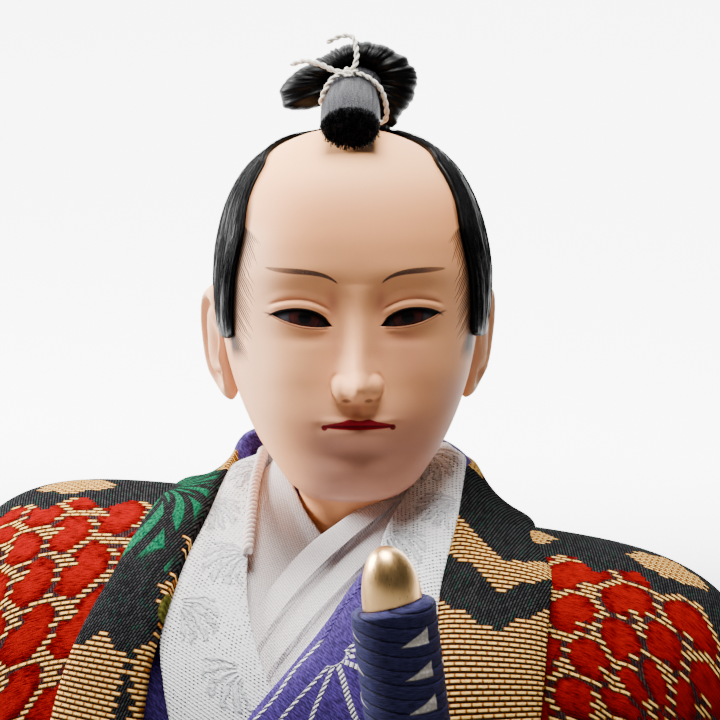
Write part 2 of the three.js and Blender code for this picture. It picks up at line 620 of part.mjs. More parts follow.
const headTurn = new THREE.Matrix4().makeRotationFromEuler(new THREE.Euler(
  -THREE.MathUtils.degToRad(HEAD_LIFT), 0, THREE.MathUtils.degToRad(HEAD_YAW), 'ZYX'));
const headPlace = new THREE.Matrix4().setPosition(...HEAD_AT).multiply(headTurn);
const onBody = (body) => {
  const geometry = geometryOf(body);
  geometry.applyMatrix4(headPlace);
  return solid(geometry);
};

// Pieces of the head, in the head's own frame
const headGrown = headBody(GAP);
const hairCap = largest(hair().subtract(ears(GAP)));
const head = minus(headBody(), ...[-1, 1].flatMap((side) => [eye(side, GAP), eyeOpening(side)]));
const knot = topknot([hair(GAP), headGrown, tie(GAP)]);

// Pieces of the body, each cut back where another one lies on it
const headOnBody = onBody(headGrown);
const grip = swordGrip(GAP);
const lapels = minus(vestCollar(), grip);
const lapelsGrown = vestCollar(GAP);
const brocade = minus(brocadeCollar(), lapelsGrown, grip, headOnBody);
const brocadeGrown = brocadeCollar(GAP);
const inner = minus(innerCollar(), brocadeGrown, lapelsGrown, headOnBody);
const innerGrown = innerCollar(COLLAR_GAP);
const robeBody = robe([innerGrown, brocadeGrown, lapelsGrown, headOnBody, grip]);
const vestBody = minus(vest(), lapelsGrown);

const headGroup = new THREE.Group();
headGroup.position.set(...HEAD_AT);
headGroup.quaternion.setFromRotationMatrix(headTurn);
headGroup.add(
  piece('head', head, 0xf0cdaf, 0.6),
  piece('left_eye', eye(-1), 0x1c1512, 0.1),
  piece('right_eye', eye(1), 0x1c1512, 0.1),
  piece('hair', hairCap, 0x0c0c0e, 0.4),
  piece('topknot', knot, 0x0d0d10, 0.45),
  piece('topknot_tie', tie(), 0xe9e2d2, 0.9),
);

const group = new THREE.Group();
group.add(
  headGroup,
  piece('inner_collar', flatBelow(inner), 0xf2eeee, 0.85),
  piece('robe', flatBelow(robeBody), 0x5648a8, 0.8),
  piece('brocade_collar', flatBelow(brocade), 0xe8e8ea, 0.7),
  piece('vest', flatBelow(vestBody), 0xb32a1e, 0.75),
  piece('vest_collar', flatBelow(lapels), 0x23262a, 0.8),
  piece('sword_grip', flatBelow(swordGrip()), 0x1c2248, 0.8),
  piece('sword_pommel', swordPommel(), 0xb98a4a, 0.3, 1),
);

export default group;
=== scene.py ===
# The looks of the samurai doll bust. Shapes are worked out in millimetres in the row frame:
# +Z is up, the doll faces -Y and +X is on the viewer's right. Meshes are written in metres.
import math

import bmesh
import bpy
import numpy as np
from mathutils import Matrix, Vector
from mathutils.kdtree import KDTree


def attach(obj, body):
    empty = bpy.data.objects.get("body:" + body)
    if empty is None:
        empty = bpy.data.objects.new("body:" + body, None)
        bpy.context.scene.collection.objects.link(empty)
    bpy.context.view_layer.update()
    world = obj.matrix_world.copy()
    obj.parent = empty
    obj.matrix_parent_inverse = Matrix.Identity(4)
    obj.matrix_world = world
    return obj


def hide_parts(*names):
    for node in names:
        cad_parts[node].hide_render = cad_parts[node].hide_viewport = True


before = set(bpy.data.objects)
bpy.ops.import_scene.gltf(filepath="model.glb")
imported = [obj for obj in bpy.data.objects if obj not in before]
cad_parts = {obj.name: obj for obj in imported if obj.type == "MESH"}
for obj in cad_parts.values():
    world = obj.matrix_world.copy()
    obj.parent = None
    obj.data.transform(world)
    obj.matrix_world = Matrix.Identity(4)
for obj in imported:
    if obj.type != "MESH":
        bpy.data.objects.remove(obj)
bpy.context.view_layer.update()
MM = 0.001
random = np.random.default_rng(7)
# Bands and bundles that share a mesh have their UV this far apart, for the material to tell them by
UV_STEP = 100

# The camera of the photograph
CAMERA_AIM = (2, 0, 48)
CAMERA_DISTANCE = 400
CAMERA_TURN = 12
CAMERA_RISE = 11
CAMERA_LENS = 160

# Driving dimensions, as in the solids
HEAD_AT = np.array([0.9, -0.9, 54.45])
HEAD_YAW = 15
HEAD_LIFT = 7
SKULL_ROUNDNESS = 2.2
BODY_HALF_WIDTH = 50.7
BODY_FRONT = 28
BODY_BACK = 26
BODY_TOP = 25
SHOULDER_TILT = 0.075
BODY_ROUNDNESS = 2.2
ROBE_OFFSET = 1.6
VEST_INSIDE = 1.9
VEST_OUTSIDE = 3.3
VEST_OPENING = 21
VEST_OPENING_BACK = 14
VEST_PLEATS = (37, -41)

# The hair lies closer than its solid, and the hilt's tape ends a little higher than its own
HAIR_THICKNESS = 0.9
HAIR_INSIDE = 0.1
HILT_TOP = np.array([14.28, -40.57, 29.0])
HILT_FOOT = np.array([17.95, -37.0, -6.0])
GRIP_HALF = np.array([4.85, 5.4])
GRIP_PITCH = 4.0
GRIP_EDGE = 0.8
TAPE_PITCH = 1.7
POMMEL_HALF = np.array([3.45, 4.0])
POMMEL_HEIGHT = 5.9


# Numbers
def mix(a, b, t):
    return a + (b - a) * t


def smooth(low, high, v):
    t = np.clip((v - low) / (high - low), 0, 1)
    return t * t * (3 - 2 * t)


def hill(u, v=0.0):
    return np.exp(-(u * u + v * v))


def power(v, exponent):
    return np.sign(v) * np.abs(v) ** exponent


def through(pairs, at):
    """A smooth curve through [position, value] pairs, that never overshoots them."""
    x, y = np.array(pairs, float).T
    step = np.diff(y) / np.diff(x)
    slope = np.concatenate([[step[0]], np.zeros(len(x) - 2), [step[-1]]])
    same = step[:-1] * step[1:] > 0
    inner = np.zeros(len(x) - 2)
    inner[same] = 2 / (1 / step[:-1][same] + 1 / step[1:][same])
    slope[1:-1] = inner
    at = np.clip(at, x[0], x[-1])
    k = np.clip(np.searchsorted(x, at, side="right") - 1, 0, len(x) - 2)
    width = x[k + 1] - x[k]
    t = (at - x[k]) / width
    rise, fall = 3 * t**2 - 2 * t**3, 1 - 3 * t**2 + 2 * t**3
    return (fall * y[k] + rise * y[k + 1]
            + width * ((t - 2 * t**2 + t**3) * slope[k] + (t**3 - t**2) * slope[k + 1]))


def strands(at, pitch, seed):
    """Uneven ridges across a bundle of threads, from -1 to 1, about a pitch apart."""
    values = np.random.default_rng(seed).uniform(-1, 1, 4096)
    place = np.asarray(at) / pitch + 2048
    k = np.floor(place).astype(int)
    return mix(values[k % 4096], values[(k + 1) % 4096], smooth(0, 1, place - k))


class Route:
    """The curve through a list of points, with the steps of a centripetal spline."""

    def __init__(self, points):
        p = np.array(points, float)
        self.points = np.vstack([2 * p[0] - p[1], p, 2 * p[-1] - p[-2]])
        self.count = len(p) - 1

    def at(self, share):
        place = np.clip(np.asarray(share, float) * self.count, 0, self.count - 1e-9)
        k = np.floor(place).astype(int)
        t = (place - k)[..., None]
        p0, p1, p2, p3 = (self.points[k + i] for i in range(4))
        d0, d1, d2 = (np.linalg.norm(b - a, axis=-1, keepdims=True) ** 0.5
                      for a, b in ((p0, p1), (p1, p2), (p2, p3)))
        m1 = ((p1 - p0) / d0 - (p2 - p0) / (d0 + d1) + (p2 - p1) / d1) * d1
        m2 = ((p2 - p1) / d1 - (p3 - p1) / (d1 + d2) + (p3 - p2) / d2) * d1
        return (p1 + m1 * t + (3 * p2 - 3 * p1 - 2 * m1 - m2) * t**2
                + (2 * p1 - 2 * p2 + m1 + m2) * t**3)

    def tangent(self, share):
        low, high = np.clip(share - 1e-4, 0, 1), np.clip(share + 1e-4, 0, 1)
        return unit(self.at(high) - self.at(low))


def unit(v):
    return v / np.maximum(np.linalg.norm(v, axis=-1, keepdims=True), 1e-12)


def lengths(points):
    """Distance run along a line of points, from its first one."""
    steps = np.linalg.norm(np.diff(points, axis=0), axis=-1)
    return np.concatenate([[0], np.cumsum(steps)])


class Build:
    """Gathers one mesh: points in millimetres, faces, and a UV for each corner of a face."""

    def __init__(self):
        self.points, self.faces, self.corners, self.count = [], [], [], 0

    def add(self, points, faces, corners=None):
        faces = np.asarray(faces)
        if corners is None:
            corners = np.zeros(faces.shape + (2,))
        self.points.append(np.asarray(points, float).reshape(-1, 3))
        self.faces.append(faces + self.count)
        self.corners.append(corners)
        self.count += len(self.points[-1])

    def grid(self, points, uv=None, wrap=False):
        """A net of quads over points in rows and columns. A wrapped one joins its last column to
        its first, so its UV has one column more."""
        rows, columns = points.shape[:2]
        i, j = np.meshgrid(np.arange(rows - 1), np.arange(columns - (0 if wrap else 1)), indexing="ij")
        after = (j + 1) % columns
        quads = np.stack([i * columns + j, i * columns + after,
                          (i + 1) * columns + after, (i + 1) * columns + j], -1).reshape(-1, 4)
        corners = None
        if uv is not None:
            spots = [uv[i, j], uv[i, j + 1], uv[i + 1, j + 1], uv[i + 1, j]]
            corners = np.stack(spots, -2).reshape(-1, 4, 2)
        self.add(points, quads, corners)

    def shell(self, outer, inner, faces, uv):
        """A sheet with an outer and an inner face, closed by a rim along its open edges."""
        count = len(outer)
        sides = np.stack([faces, np.roll(faces, -1, 1)], -1).reshape(-1, 2)
        _, first, times = np.unique(np.sort(sides, 1), axis=0, return_index=True, return_counts=True)
        edge = sides[first[times == 1]]
        rim = np.stack([edge[:, 1], edge[:, 0], edge[:, 0] + count, edge[:, 1] + count], -1)
        every = np.concatenate([faces, faces[:, ::-1] + count, rim])
        self.add(np.concatenate([outer, inner]), every, np.tile(uv, (2, 1))[every])

    def slab(self, front, back, uv):
        """A sheet between two nets of equal size."""
        rows, columns = front.shape[:2]
        i, j = np.meshgrid(np.arange(rows - 1), np.arange(columns - 1), indexing="ij")
        order = np.arange(rows * columns).reshape(rows, columns)
        faces = np.stack([order[i, j], order[i, j + 1], order[i + 1, j + 1], order[i + 1, j]], -1)
        self.shell(front.reshape(-1, 3), back.reshape(-1, 3), faces.reshape(-1, 4), uv.reshape(-1, 2))

    def mesh(self, name, cut=False):
        """The mesh in metres: equal points are merged, all faces point outwards, and a cut one
        is flat at the underside."""
        data = bpy.data.meshes.new(name)
        points = np.concatenate(self.points) * MM
        sizes = np.concatenate([np.full(len(faces), faces.shape[1]) for faces in self.faces])
        data.vertices.add(len(points))
        data.vertices.foreach_set("co", points.ravel())
        data.loops.add(int(sizes.sum()))
        data.loops.foreach_set("vertex_index", np.concatenate([f.ravel() for f in self.faces]))
        data.polygons.add(len(sizes))
        data.polygons.foreach_set("loop_start", np.concatenate([[0], np.cumsum(sizes)[:-1]]))
        layer = data.uv_layers.new(name="UVMap")
        layer.data.foreach_set("uv", np.concatenate([c.reshape(-1) for c in self.corners]))
        data.update(calc_edges=True)
        net = bmesh.new()
        net.from_mesh(data)
        bmesh.ops.remove_doubles(net, verts=net.verts, dist=1e-4 * MM)
        if cut:
            every = net.verts[:] + net.edges[:] + net.faces[:]
            bmesh.ops.bisect_plane(net, geom=every, dist=1e-8, plane_co=(0, 0, 0), plane_no=(0, 0, -1),
                                   clear_outer=True)
            bmesh.ops.holes_fill(net, edges=[edge for edge in net.edges if edge.is_boundary], sides=0)
        bmesh.ops.recalc_face_normals(net, faces=net.faces)
        net.to_mesh(data)
        net.free()
        data.polygons.foreach_set("use_smooth", np.ones(len(data.polygons), bool))
        return data


def piece(name, mesh, material, nodes=()):
    """A finished mesh as an object that stands for some of the solids."""
    thing = bpy.data.objects.new(name, mesh)
    bpy.context.scene.collection.objects.link(thing)
    thing.data.materials.clear()
    thing.data.materials.append(material)
    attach(thing, "root")
    if nodes:
        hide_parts(*nodes)
    return thing


# Geometry trees, for threads and bristles
class Tree:
    """A geometry tree with named inputs. It ends in Realize Instances and Set Material."""

    def __init__(self, name, **inputs):
        self.group = bpy.data.node_groups.new(name, "GeometryNodeTree")
        self.interface = {}
        kinds = {float: "Float", int: "Int"}
        self.socket("Geometry", "INPUT", "Geometry")
        self.socket("Geometry", "OUTPUT", "Geometry")
        for label, value in inputs.items():
            self.socket(label, "INPUT", kinds[type(value)]).default_value = value
        self.socket("material", "INPUT", "Material")
        self.start = self.group.nodes.new("NodeGroupInput").outputs

    def socket(self, label, way, kind):
        made = self.group.interface.new_socket(label, in_out=way, socket_type="NodeSocket" + kind)
        if way == "INPUT":
            self.interface[label] = made.identifier
        return made

    def node(self, kind, settings=None, inputs=None):
        made = self.group.nodes.new(kind)
        for name, value in (settings or {}).items():
            setattr(made, name, value)
        for name, value in (inputs or {}).items():
            if isinstance(value, bpy.types.NodeSocket):
                self.group.links.new(value, made.inputs[name])
            else:
                made.inputs[name].default_value = value
        return made.outputs

    def math(self, operation, a, b=0.0):
        return self.node("ShaderNodeMath", {"operation": operation}, {0: a, 1: b})[0]

    def scale(self, vector, factor):
        return self.node("ShaderNodeVectorMath", {"operation": "SCALE"}, {0: vector, "Scale": factor})[0]

    def plus(self, a, b):
        return self.node("ShaderNodeVectorMath", {"operation": "ADD"}, {0: a, 1: b})[0]

    def finish(self, geometry):
        whole = self.node("GeometryNodeRealizeInstances", None, {0: geometry})[0]
        whole = self.node("GeometryNodeSetShadeSmooth", None, {0: whole})[0]
        whole = self.node("GeometryNodeSetMaterial", None,
                          {0: whole, "Material": self.start["material"]})[0]
        end = self.group.nodes.new("NodeGroupOutput")
        self.group.links.new(whole, end.inputs[0])
        return self

    def grow(self, mesh, material, **values):
        """The plain mesh that the tree makes of a mesh."""
        thing = bpy.data.objects.new(self.group.name, mesh)
        bpy.context.scene.collection.objects.link(thing)
        modifier = thing.modifiers.new(self.group.name, "NODES")
        modifier.node_group = self.group
        for label, value in {"material": material, **values}.items():
            modifier[self.interface[label]] = value
        bpy.context.view_layer.update()
        seen = thing.evaluated_get(bpy.context.evaluated_depsgraph_get())
        made = bpy.data.meshes.new_from_object(seen)
        thing.modifiers.remove(modifier)
        bpy.data.objects.remove(thing)
        return made


def line_mesh(lines):
    """Lines of points in millimetres as one mesh of edges, in metres."""
    data = bpy.data.meshes.new("lines")
    points = np.concatenate(lines) * MM
    sizes = np.array([len(line) for line in lines])
    starts = np.concatenate([[0], np.cumsum(sizes)[:-1]])
    first = np.concatenate([np.arange(size - 1) + start for size, start in zip(sizes, starts)])
    data.vertices.add(len(points))
    data.vertices.foreach_set("co", points.ravel())
    data.edges.add(len(first))
    data.edges.foreach_set("vertices", np.stack([first, first + 1], -1).ravel())
    return data


def thread_tree():
    """Round threads along lines, thinner towards their ends."""
    tree = Tree("threads", radius=0.0001, sides=4, blunt=0.0)
    curve = tree.node("GeometryNodeMeshToCurve", None, {0: tree.start["Geometry"]})[0]
    along = tree.node("GeometryNodeSplineParameter")["Factor"]
    arch = tree.math("SINE", tree.math("MULTIPLY", along, math.pi))
    arch = tree.math("MAXIMUM", tree.math("POWER", arch, 0.4), tree.start["blunt"])
    width = tree.math("MULTIPLY", arch, tree.start["radius"])
    ring = tree.node("GeometryNodeCurvePrimitiveCircle", None,
                     {"Resolution": tree.start["sides"], "Radius": 1.0})[0]
    tube = tree.node("GeometryNodeCurveToMesh", None,
                     {0: curve, "Profile Curve": ring, "Scale": width, "Fill Caps": True})
    return tree.finish(tube[0])


def cord_tree():
    """Two plies that twist round a line."""
    tree = Tree("two_ply_cord", ply_radius=0.0002, ply_offset=0.0002, pitch=0.0015, step=0.0002, sides=8)
    curve = tree.node("GeometryNodeMeshToCurve", None, {0: tree.start["Geometry"]})[0]
    curve = tree.node("GeometryNodeResampleCurve", {"mode": "LENGTH"},
                      {0: curve, "Length": tree.start["step"]})[0]
    run = tree.node("GeometryNodeSplineParameter")["Length"]
    turn = tree.math("MULTIPLY", tree.math("DIVIDE", run, tree.start["pitch"]), 2 * math.pi)
    normal = tree.node("GeometryNodeInputNormal")[0]
    tangent = tree.node("GeometryNodeInputTangent")[0]
    across = tree.node("ShaderNodeVectorMath", {"operation": "CROSS_PRODUCT"}, {0: tangent, 1: normal})[0]
    ring = tree.node("GeometryNodeCurvePrimitiveCircle", None,
                     {"Resolution": tree.start["sides"], "Radius": tree.start["ply_radius"]})[0]
    both = tree.node("GeometryNodeJoinGeometry")
    for half in (0.0, math.pi):
        angle = tree.math("ADD", turn, half)
        swing = tree.plus(tree.scale(normal, tree.math("COSINE", angle)),
                          tree.scale(across, tree.math("SINE", angle)))
        moved = tree.node("GeometryNodeSetPosition", None,
                          {0: curve, "Offset": tree.scale(swing, tree.start["ply_offset"])})[0]
        tube = tree.node("GeometryNodeCurveToMesh", None,
                         {0: moved, "Profile Curve": ring, "Fill Caps": True})
        tree.group.links.new(tube[0], both[0].node.inputs[0])
    return tree.finish(both[0])


# Materials
def math_node(operation, swapped=False):
    """A method of Value that adds one Math node."""
    def method(self, *others):
        values = [self, *others]
        inputs = dict(enumerate(values[::-1] if swapped else values))
        return self.shade.node("Math", {"operation": operation}, inputs)
    return method


class Value:
    """One socket of a material's nodes, so that shader maths reads as plain sums. mix, hill and
    other functions of plain sums take Values as well as numbers."""

    def __init__(self, shade, socket):
        self.shade, self.socket = shade, socket

    __add__ = __radd__ = math_node("ADD")
    __sub__ = math_node("SUBTRACT")
    __rsub__ = math_node("SUBTRACT", swapped=True)
    __mul__ = __rmul__ = math_node("MULTIPLY")
    __truediv__ = math_node("DIVIDE")
    __pow__ = math_node("POWER")
    __lt__ = math_node("LESS_THAN")
    __gt__ = math_node("GREATER_THAN")
    __mod__ = math_node("FLOORED_MODULO")
    __abs__ = math_node("ABSOLUTE")
    floor = math_node("FLOOR")
    exp = math_node("EXPONENT")
    sin = math_node("SINE")
    cos = math_node("COSINE")
    arc = math_node("ARCTAN2")
    root = math_node("SQRT")
    least = math_node("MINIMUM")
    most = math_node("MAXIMUM")

    def __neg__(self):
        return self * -1.0

    def square(self):
        return self * self


class Shade:
    """A material and the calls that add nodes to it."""

    def __init__(self, name):
        self.material = bpy.data.materials.new(name)
        self.material.use_nodes = True
        self.tree = self.material.node_tree
        self.tree.nodes.clear()

    def node(self, kind, settings=None, inputs=None, output=0):
        made = self.tree.nodes.new("ShaderNode" + kind)
        for name, value in (settings or {}).items():
            setattr(made, name, value)
        for name, value in (inputs or {}).items():
            if isinstance(value, Value):
                self.tree.links.new(value.socket, made.inputs[name])
            else:
                made.inputs[name].default_value = value
        return Value(self, made.outputs[output])

    def split(self, vector):
        parts = self.node("SeparateXYZ", None, {0: vector})
        return [Value(self, output) for output in parts.socket.node.outputs]

    def vector(self, x=0.0, y=0.0, z=0.0):
        return self.node("CombineXYZ", None, {0: x, 1: y, 2: z})

    def here(self):
        """The place on the object, in millimetres."""
        place = self.node("TexCoord", output=3)
        return self.split(self.node("VectorMath", {"operation": "SCALE"}, {0: place, "Scale": 1000.0}))

    def uv(self):
        return self.split(self.node("UVMap", {"uv_map": "UVMap"}))[:2]

    def noise(self, place, scale=1.0, detail=2.0, roughness=0.5):
        return self.node("TexNoise", None,
                         {"Vector": place, "Scale": scale, "Detail": detail, "Roughness": roughness})

    def chance(self, *numbers):
        """An even random share for each number, or for each pair of numbers."""
        if len(numbers) == 1:
            return self.node("TexWhiteNoise", {"noise_dimensions": "1D"}, {"W": numbers[0]})
        return self.node("TexWhiteNoise", {"noise_dimensions": "2D"}, {0: self.vector(*numbers)})

    def ramp(self, value, low, high, start=0.0, end=1.0):
        settings = {"interpolation_type": "SMOOTHSTEP"}
        return self.node("MapRange", settings, {0: value, 1: low, 2: high, 3: start, 4: end})

    def blend(self, share, a, b):
        """From colour a to colour b."""
        settings = {"data_type": "RGBA", "clamp_factor": True}
        inputs = {0: share}
        for key, colour in ((6, a), (7, b)):
            inputs[key] = colour if isinstance(colour, Value) else (*colour, 1.0)
        return self.node("Mix", settings, inputs, output=2)

    def finish(self, colour, roughness, relief=None, relief_mm=0.1, **constants):
        """The surface: colour and roughness may vary, and relief is a height from 0 to 1."""
        inputs = {"Base Color": colour, "Roughness": roughness}
        if relief is not None:
            inputs["Normal"] = self.node("Bump", None, {"Distance": relief_mm * MM, "Height": relief})
        inputs.update({name.replace("_", " "): value for name, value in constants.items()})
        surface = self.node("BsdfPrincipled", None, inputs)
        end = self.tree.nodes.new("ShaderNodeOutputMaterial")
        self.tree.links.new(surface.socket, end.inputs[0])
        return self.material


# The camera, the light and the ground
def turn_matrix(turn, rise):
    """Axes of a camera that looks at the front from a turn and a rise, as columns."""
    a, e = math.radians(turn), math.radians(rise)
    right = Vector((math.cos(a), math.sin(a), 0))
    up = Vector((-math.sin(a) * math.sin(e), math.cos(a) * math.sin(e), math.cos(e)))
    back = Vector((math.sin(a) * math.cos(e), -math.cos(a) * math.cos(e), math.sin(e)))
    return Matrix((right, up, back)).transposed()


def set_camera():
    lens = bpy.data.cameras.new("camera")
    lens.lens, lens.sensor_width = CAMERA_LENS, 36
    lens.clip_start, lens.clip_end = 0.02, 20
    camera = bpy.data.objects.new("camera", lens)
    bpy.context.scene.collection.objects.link(camera)
    axes = turn_matrix(CAMERA_TURN, CAMERA_RISE)
    place = Vector(CAMERA_AIM) + axes.col[2] * CAMERA_DISTANCE
    camera.matrix_world = Matrix.Translation(place * MM) @ axes.to_4x4()
    bpy.context.scene.camera = camera


def soft_light(name, turn, rise, distance, size, power_w, colour=(1, 1, 1)):
    lamp = bpy.data.lights.new(name, "AREA")
    lamp.shape, lamp.size, lamp.energy, lamp.color = "DISK", size * MM, power_w, colour
    thing = bpy.data.objects.new(name, lamp)
    bpy.context.scene.collection.objects.link(thing)
    axes = turn_matrix(turn, rise)
    place = Vector((0, 0, 55)) + axes.col[2] * distance
    thing.matrix_world = Matrix.Translation(place * MM) @ axes.to_4x4()


def set_light():
    """A high-key studio: a bright sweep behind, one large soft light above and one on the left."""
    world = bpy.data.worlds.new("studio")
    bpy.context.scene.world = world
    world.use_nodes = True
    world.node_tree.nodes["Background"].inputs[0].default_value = (0.9, 0.95, 1.0, 1)
    world.node_tree.nodes["Background"].inputs[1].default_value = 0.03
    soft_light("above", -25, 86, 430, 290, 8.4, (1.0, 0.985, 0.96))
    soft_light("left", -97, 20, 420, 220, 8.2)


def set_ground():
    """A grey floor that turns pale behind the doll and runs up into a bright sweep."""
    section = [(-900, 0), (640, 0), (780, 25), (860, 100), (900, 240), (920, 1100)]
    rise = Route([(0, y, z) for y, z in section]).at(np.linspace(0, 1, 60))
    across = np.linspace(-1500, 1500, 3)
    build = Build()
    build.grid(rise[::-1, None, :] + across[None, :, None] * np.array([1, 0, 0]))
    shade = Shade("paper_ground")
    x, y, z = shade.here()
    grain = shade.noise(shade.vector(x, y, z), 0.02, 3)
    near = shade.blend(grain, (0.155, 0.157, 0.16), (0.175, 0.177, 0.18))
    tone = shade.blend(shade.ramp(y, 40, 160), near, (0.8, 0.805, 0.81))
    lit = shade.ramp(y, 60, 220) * shade.ramp(x, 380, 150) * shade.ramp(x, -980, -620)
    glow = shade.blend(lit, (0, 0, 0), (1, 1, 1))
    ground = bpy.data.objects.new("ground", build.mesh("ground"))
    bpy.context.scene.collection.objects.link(ground)
    ground.data.materials.append(shade.finish(tone, 0.9, Emission_Color=glow, Emission_Strength=5.6))


set_camera()
set_light()
set_ground()


# The head: level sections from the crown to the neck, each with its front and back point
# (y, z) and its half width
SKULL = np.array([
    [-0.5, 22.5, 3.5, 22.5, 2], [-4, 22.0, 7, 22.0, 5], [-8.5, 20.5, 12, 20.0, 9],
    [-12.6, 17.6, 16, 16.9, 12.4], [-15.3, 14.2, 18.4, 12.8, 14.6], [-16.9, 10.4, 19.6, 8, 15.8],
    [-17.5, 7, 19.8, 3.5, 16.2], [-17.4, 3.6, 19.2, 0, 16.15], [-16.8, 0, 18, -3.5, 15.9],
    [-16.8, -4, 16, -6.5, 15.3], [-17.1, -8, 14, -9, 14.4], [-17.2, -12, 12.2, -11.5, 13.2],
    [-16.3, -16, 11.4, -14, 11.7], [-15.7, -19.2, 10.8, -16.5, 9.9], [-14.0, -21.6, 10.2, -18.5, 8.3],
    [-10.6, -22.7, 9.8, -20.5, 6.9], [-6.2, -23.4, 9.8, -22.5, 6.4], [-4.0, -25.4, 10.0, -25, 6.3],
    [-3.0, -29, 10.6, -29, 6.5], [-1.8, -36, 12.0, -36, 6.9],
])
HEAD_TURN = np.array(Matrix.Rotation(math.radians(HEAD_YAW), 3, "Z")
                     @ Matrix.Rotation(math.radians(-HEAD_LIFT), 3, "X"))


def on_body(points):
    """From the head's own frame to the row frame."""
    return np.asarray(points) @ HEAD_TURN.T + HEAD_AT


def skull_section(row):
    row = np.clip(row, 0, len(SKULL) - 1 - 1e-9)
    k = np.floor(row).astype(int)
    t = (row - k)[..., None]
    last = len(SKULL) - 1
    before, here = SKULL[np.maximum(k - 1, 0)], SKULL[k]
    after, beyond = SKULL[np.minimum(k + 1, last)], SKULL[np.minimum(k + 2, last)]
    slope0, slope1 = (after - before) / 2, (beyond - here) / 2
    return ((2 * t**3 - 3 * t**2 + 1) * here + (t**3 - 2 * t**2 + t) * slope0
            + (3 * t**2 - 2 * t**3) * after + (t**3 - t**2) * slope1)


def skull_point(row, angle, grow=0.0):
    """A point of the plain skull, and how much it faces forward."""
    front_y, front_z, back_y, back_z, half = np.moveaxis(skull_section(row), -1, 0)
    ahead = power(np.cos(angle), 2 / SKULL_ROUNDNESS)
    x = (half + grow) * power(np.sin(angle), 2 / SKULL_ROUNDNESS)
    y = (front_y + back_y) / 2 - ((back_y - front_y) / 2 + grow) * ahead
    z = mix(back_z, front_z, (1 + ahead) / 2)
    return np.stack([x, y, z + grow * smooth(12, 22, z)], -1), ahead


def head_angles(count):
    t = 2 * math.pi * np.arange(count) / count
    return t - 0.62 * np.sin(t)


# Lines of the face, as heights over the distance from its middle. They are used for the shape
# and for the paint, so they are written with plain sums only.
EYE_MIDDLE = 6.45
EYE_REACH = 3.6


def corner_line(side):
    return -0.38 + (side - EYE_MIDDLE) * (0.69 / EYE_REACH)


def lid_share(side):
    return (side - EYE_MIDDLE) * (1 / EYE_REACH)


def upper_lid(side):
    t = lid_share(side)
    return corner_line(side) + (1 - t * t) * (1.31 - 0.36 * t + 0.3 * t * t)


def lower_lid(side):
    t = lid_share(side)
    return corner_line(side) - (1 - t * t) * (0.63 + 0.09 * t + 0.03 * t * t)


def lid_fold(side):
    d = side - 7.1
    return 2.1 - 0.072 * d * d + 0.003 * d * d * d


NOSE_RIDGE = [(-10.4, 0), (-9.9, 1.6), (-9.3, 3.2), (-8.8, 4.2), (-8, 4.5), (-6.5, 4.0),
              (-5, 3.25), (-2, 1.75), (0.5, 0.8), (4, 0)]
NOSE_WIDTH = [(-10, 1.7), (-8, 1.8), (-6.4, 1.6), (-4, 1.35), (0, 1.35), (4, 2.2)]
MOUTH_LINE = -12.95


def soft_relief(x, z):
    """How far the broad forms of the face stand out of the plain skull."""
    side = np.abs(x)
    sockets = (-0.75 * hill((side - 6) / 4, (z - 1.9) / 2.7)
               - 0.5 * hill((side - 3) / 1.5, (z - 0.6) / 2.2))
    lids = 0.9 * hill((side - 6.7) / 3.7, (z - 0.4) / 1.7)
    brow = 0.25 * hill((side - 6.5) / 5, (z - 5) / 1.6)
    cheeks = 0.35 * hill((side - 8) / 3.5, (z + 6) / 3.5)
    return sockets + lids + brow + cheeks


def fine_relief(x, z):
    """The nose, mouth, chin and the creases of the lids."""
    side = np.abs(x)
    ridge = through(NOSE_RIDGE, z) * np.exp(-np.abs(x / through(NOSE_WIDTH, z)) ** 2.2)
    tip = 3.0 * np.clip(1 - (x / 2.0) ** 2 - ((z + 8.2) / 2.2) ** 2, 0, 1)
    wing_at = np.hypot((side - 2.0) / 1.08, (z + 8.25) / 1.5)
    wings = 1.9 * np.clip(1 - wing_at ** 2.4, 0, 1) ** 0.6
    nose = (ridge ** 2.1 + tip ** 2.1 + wings ** 2.1) ** (1 / 2.1) * 0.88
    nostrils = -0.6 * hill((side - 1.3) / 0.55, (z + 9.8) / 0.3)
    wing_line = -0.15 * hill((wing_at - 1.1) / 0.14) * smooth(2.0, 2.7, side)
    mouth = (0.6 * hill(x / 5.5, (z + 13) / 3.2) + 0.5 * hill(x / 3.4, (z + 12.4) / 0.5)
             + 0.65 * hill(x / 2.8, (z + 13.95) / 0.8)
             - 0.38 * hill(x / 4.4, (z - MOUTH_LINE) / 0.24) * smooth(4.9, 4.0, side))
    corners = -0.12 * hill((side - 4.5) / 0.8, (z + 13.15) / 0.8)
    groove = -0.35 * hill(x / 0.6, (z + 11.2) / 0.9)
    chin = 0.6 * hill(x / 3.6, (z + 19.3) / 2.2) - 0.3 * hill(x / 4, (z + 16.2) / 1.1)
    reach = smooth(2.8, 4.2, side) * smooth(10.9, 9.3, side)
    above = z - lid_fold(side)
    fold = reach * (-0.2 * hill((above - 0.06) / 0.2) + 0.2 * hill((above + 0.45) / 0.42)
                    + 0.1 * hill((above - 0.7) / 0.5))
    rim = 0.13 * hill((z - lower_lid(side) + 0.35) / 0.3) * smooth(3, 4.2, side) * smooth(10.3, 9, side)
    under = -0.15 * hill((side - 6.2) / 3.2, (z + 2.5) / 0.8)
    return (nose + nostrils + wing_line + mouth + corners + groove + chin
            + fold + rim + under)


def row_at(angle, line):
    """The skull row where a column meets a line of the face, for each angle."""
    rows = np.linspace(0, 18.9, 1400)
    found = []
    for a in np.atleast_1d(angle):
        point, _ = skull_point(rows, np.full(rows.shape, a))
        found.append(np.interp(0, line(np.abs(point[:, 0])) - point[:, 2], rows))
    return np.array(found)


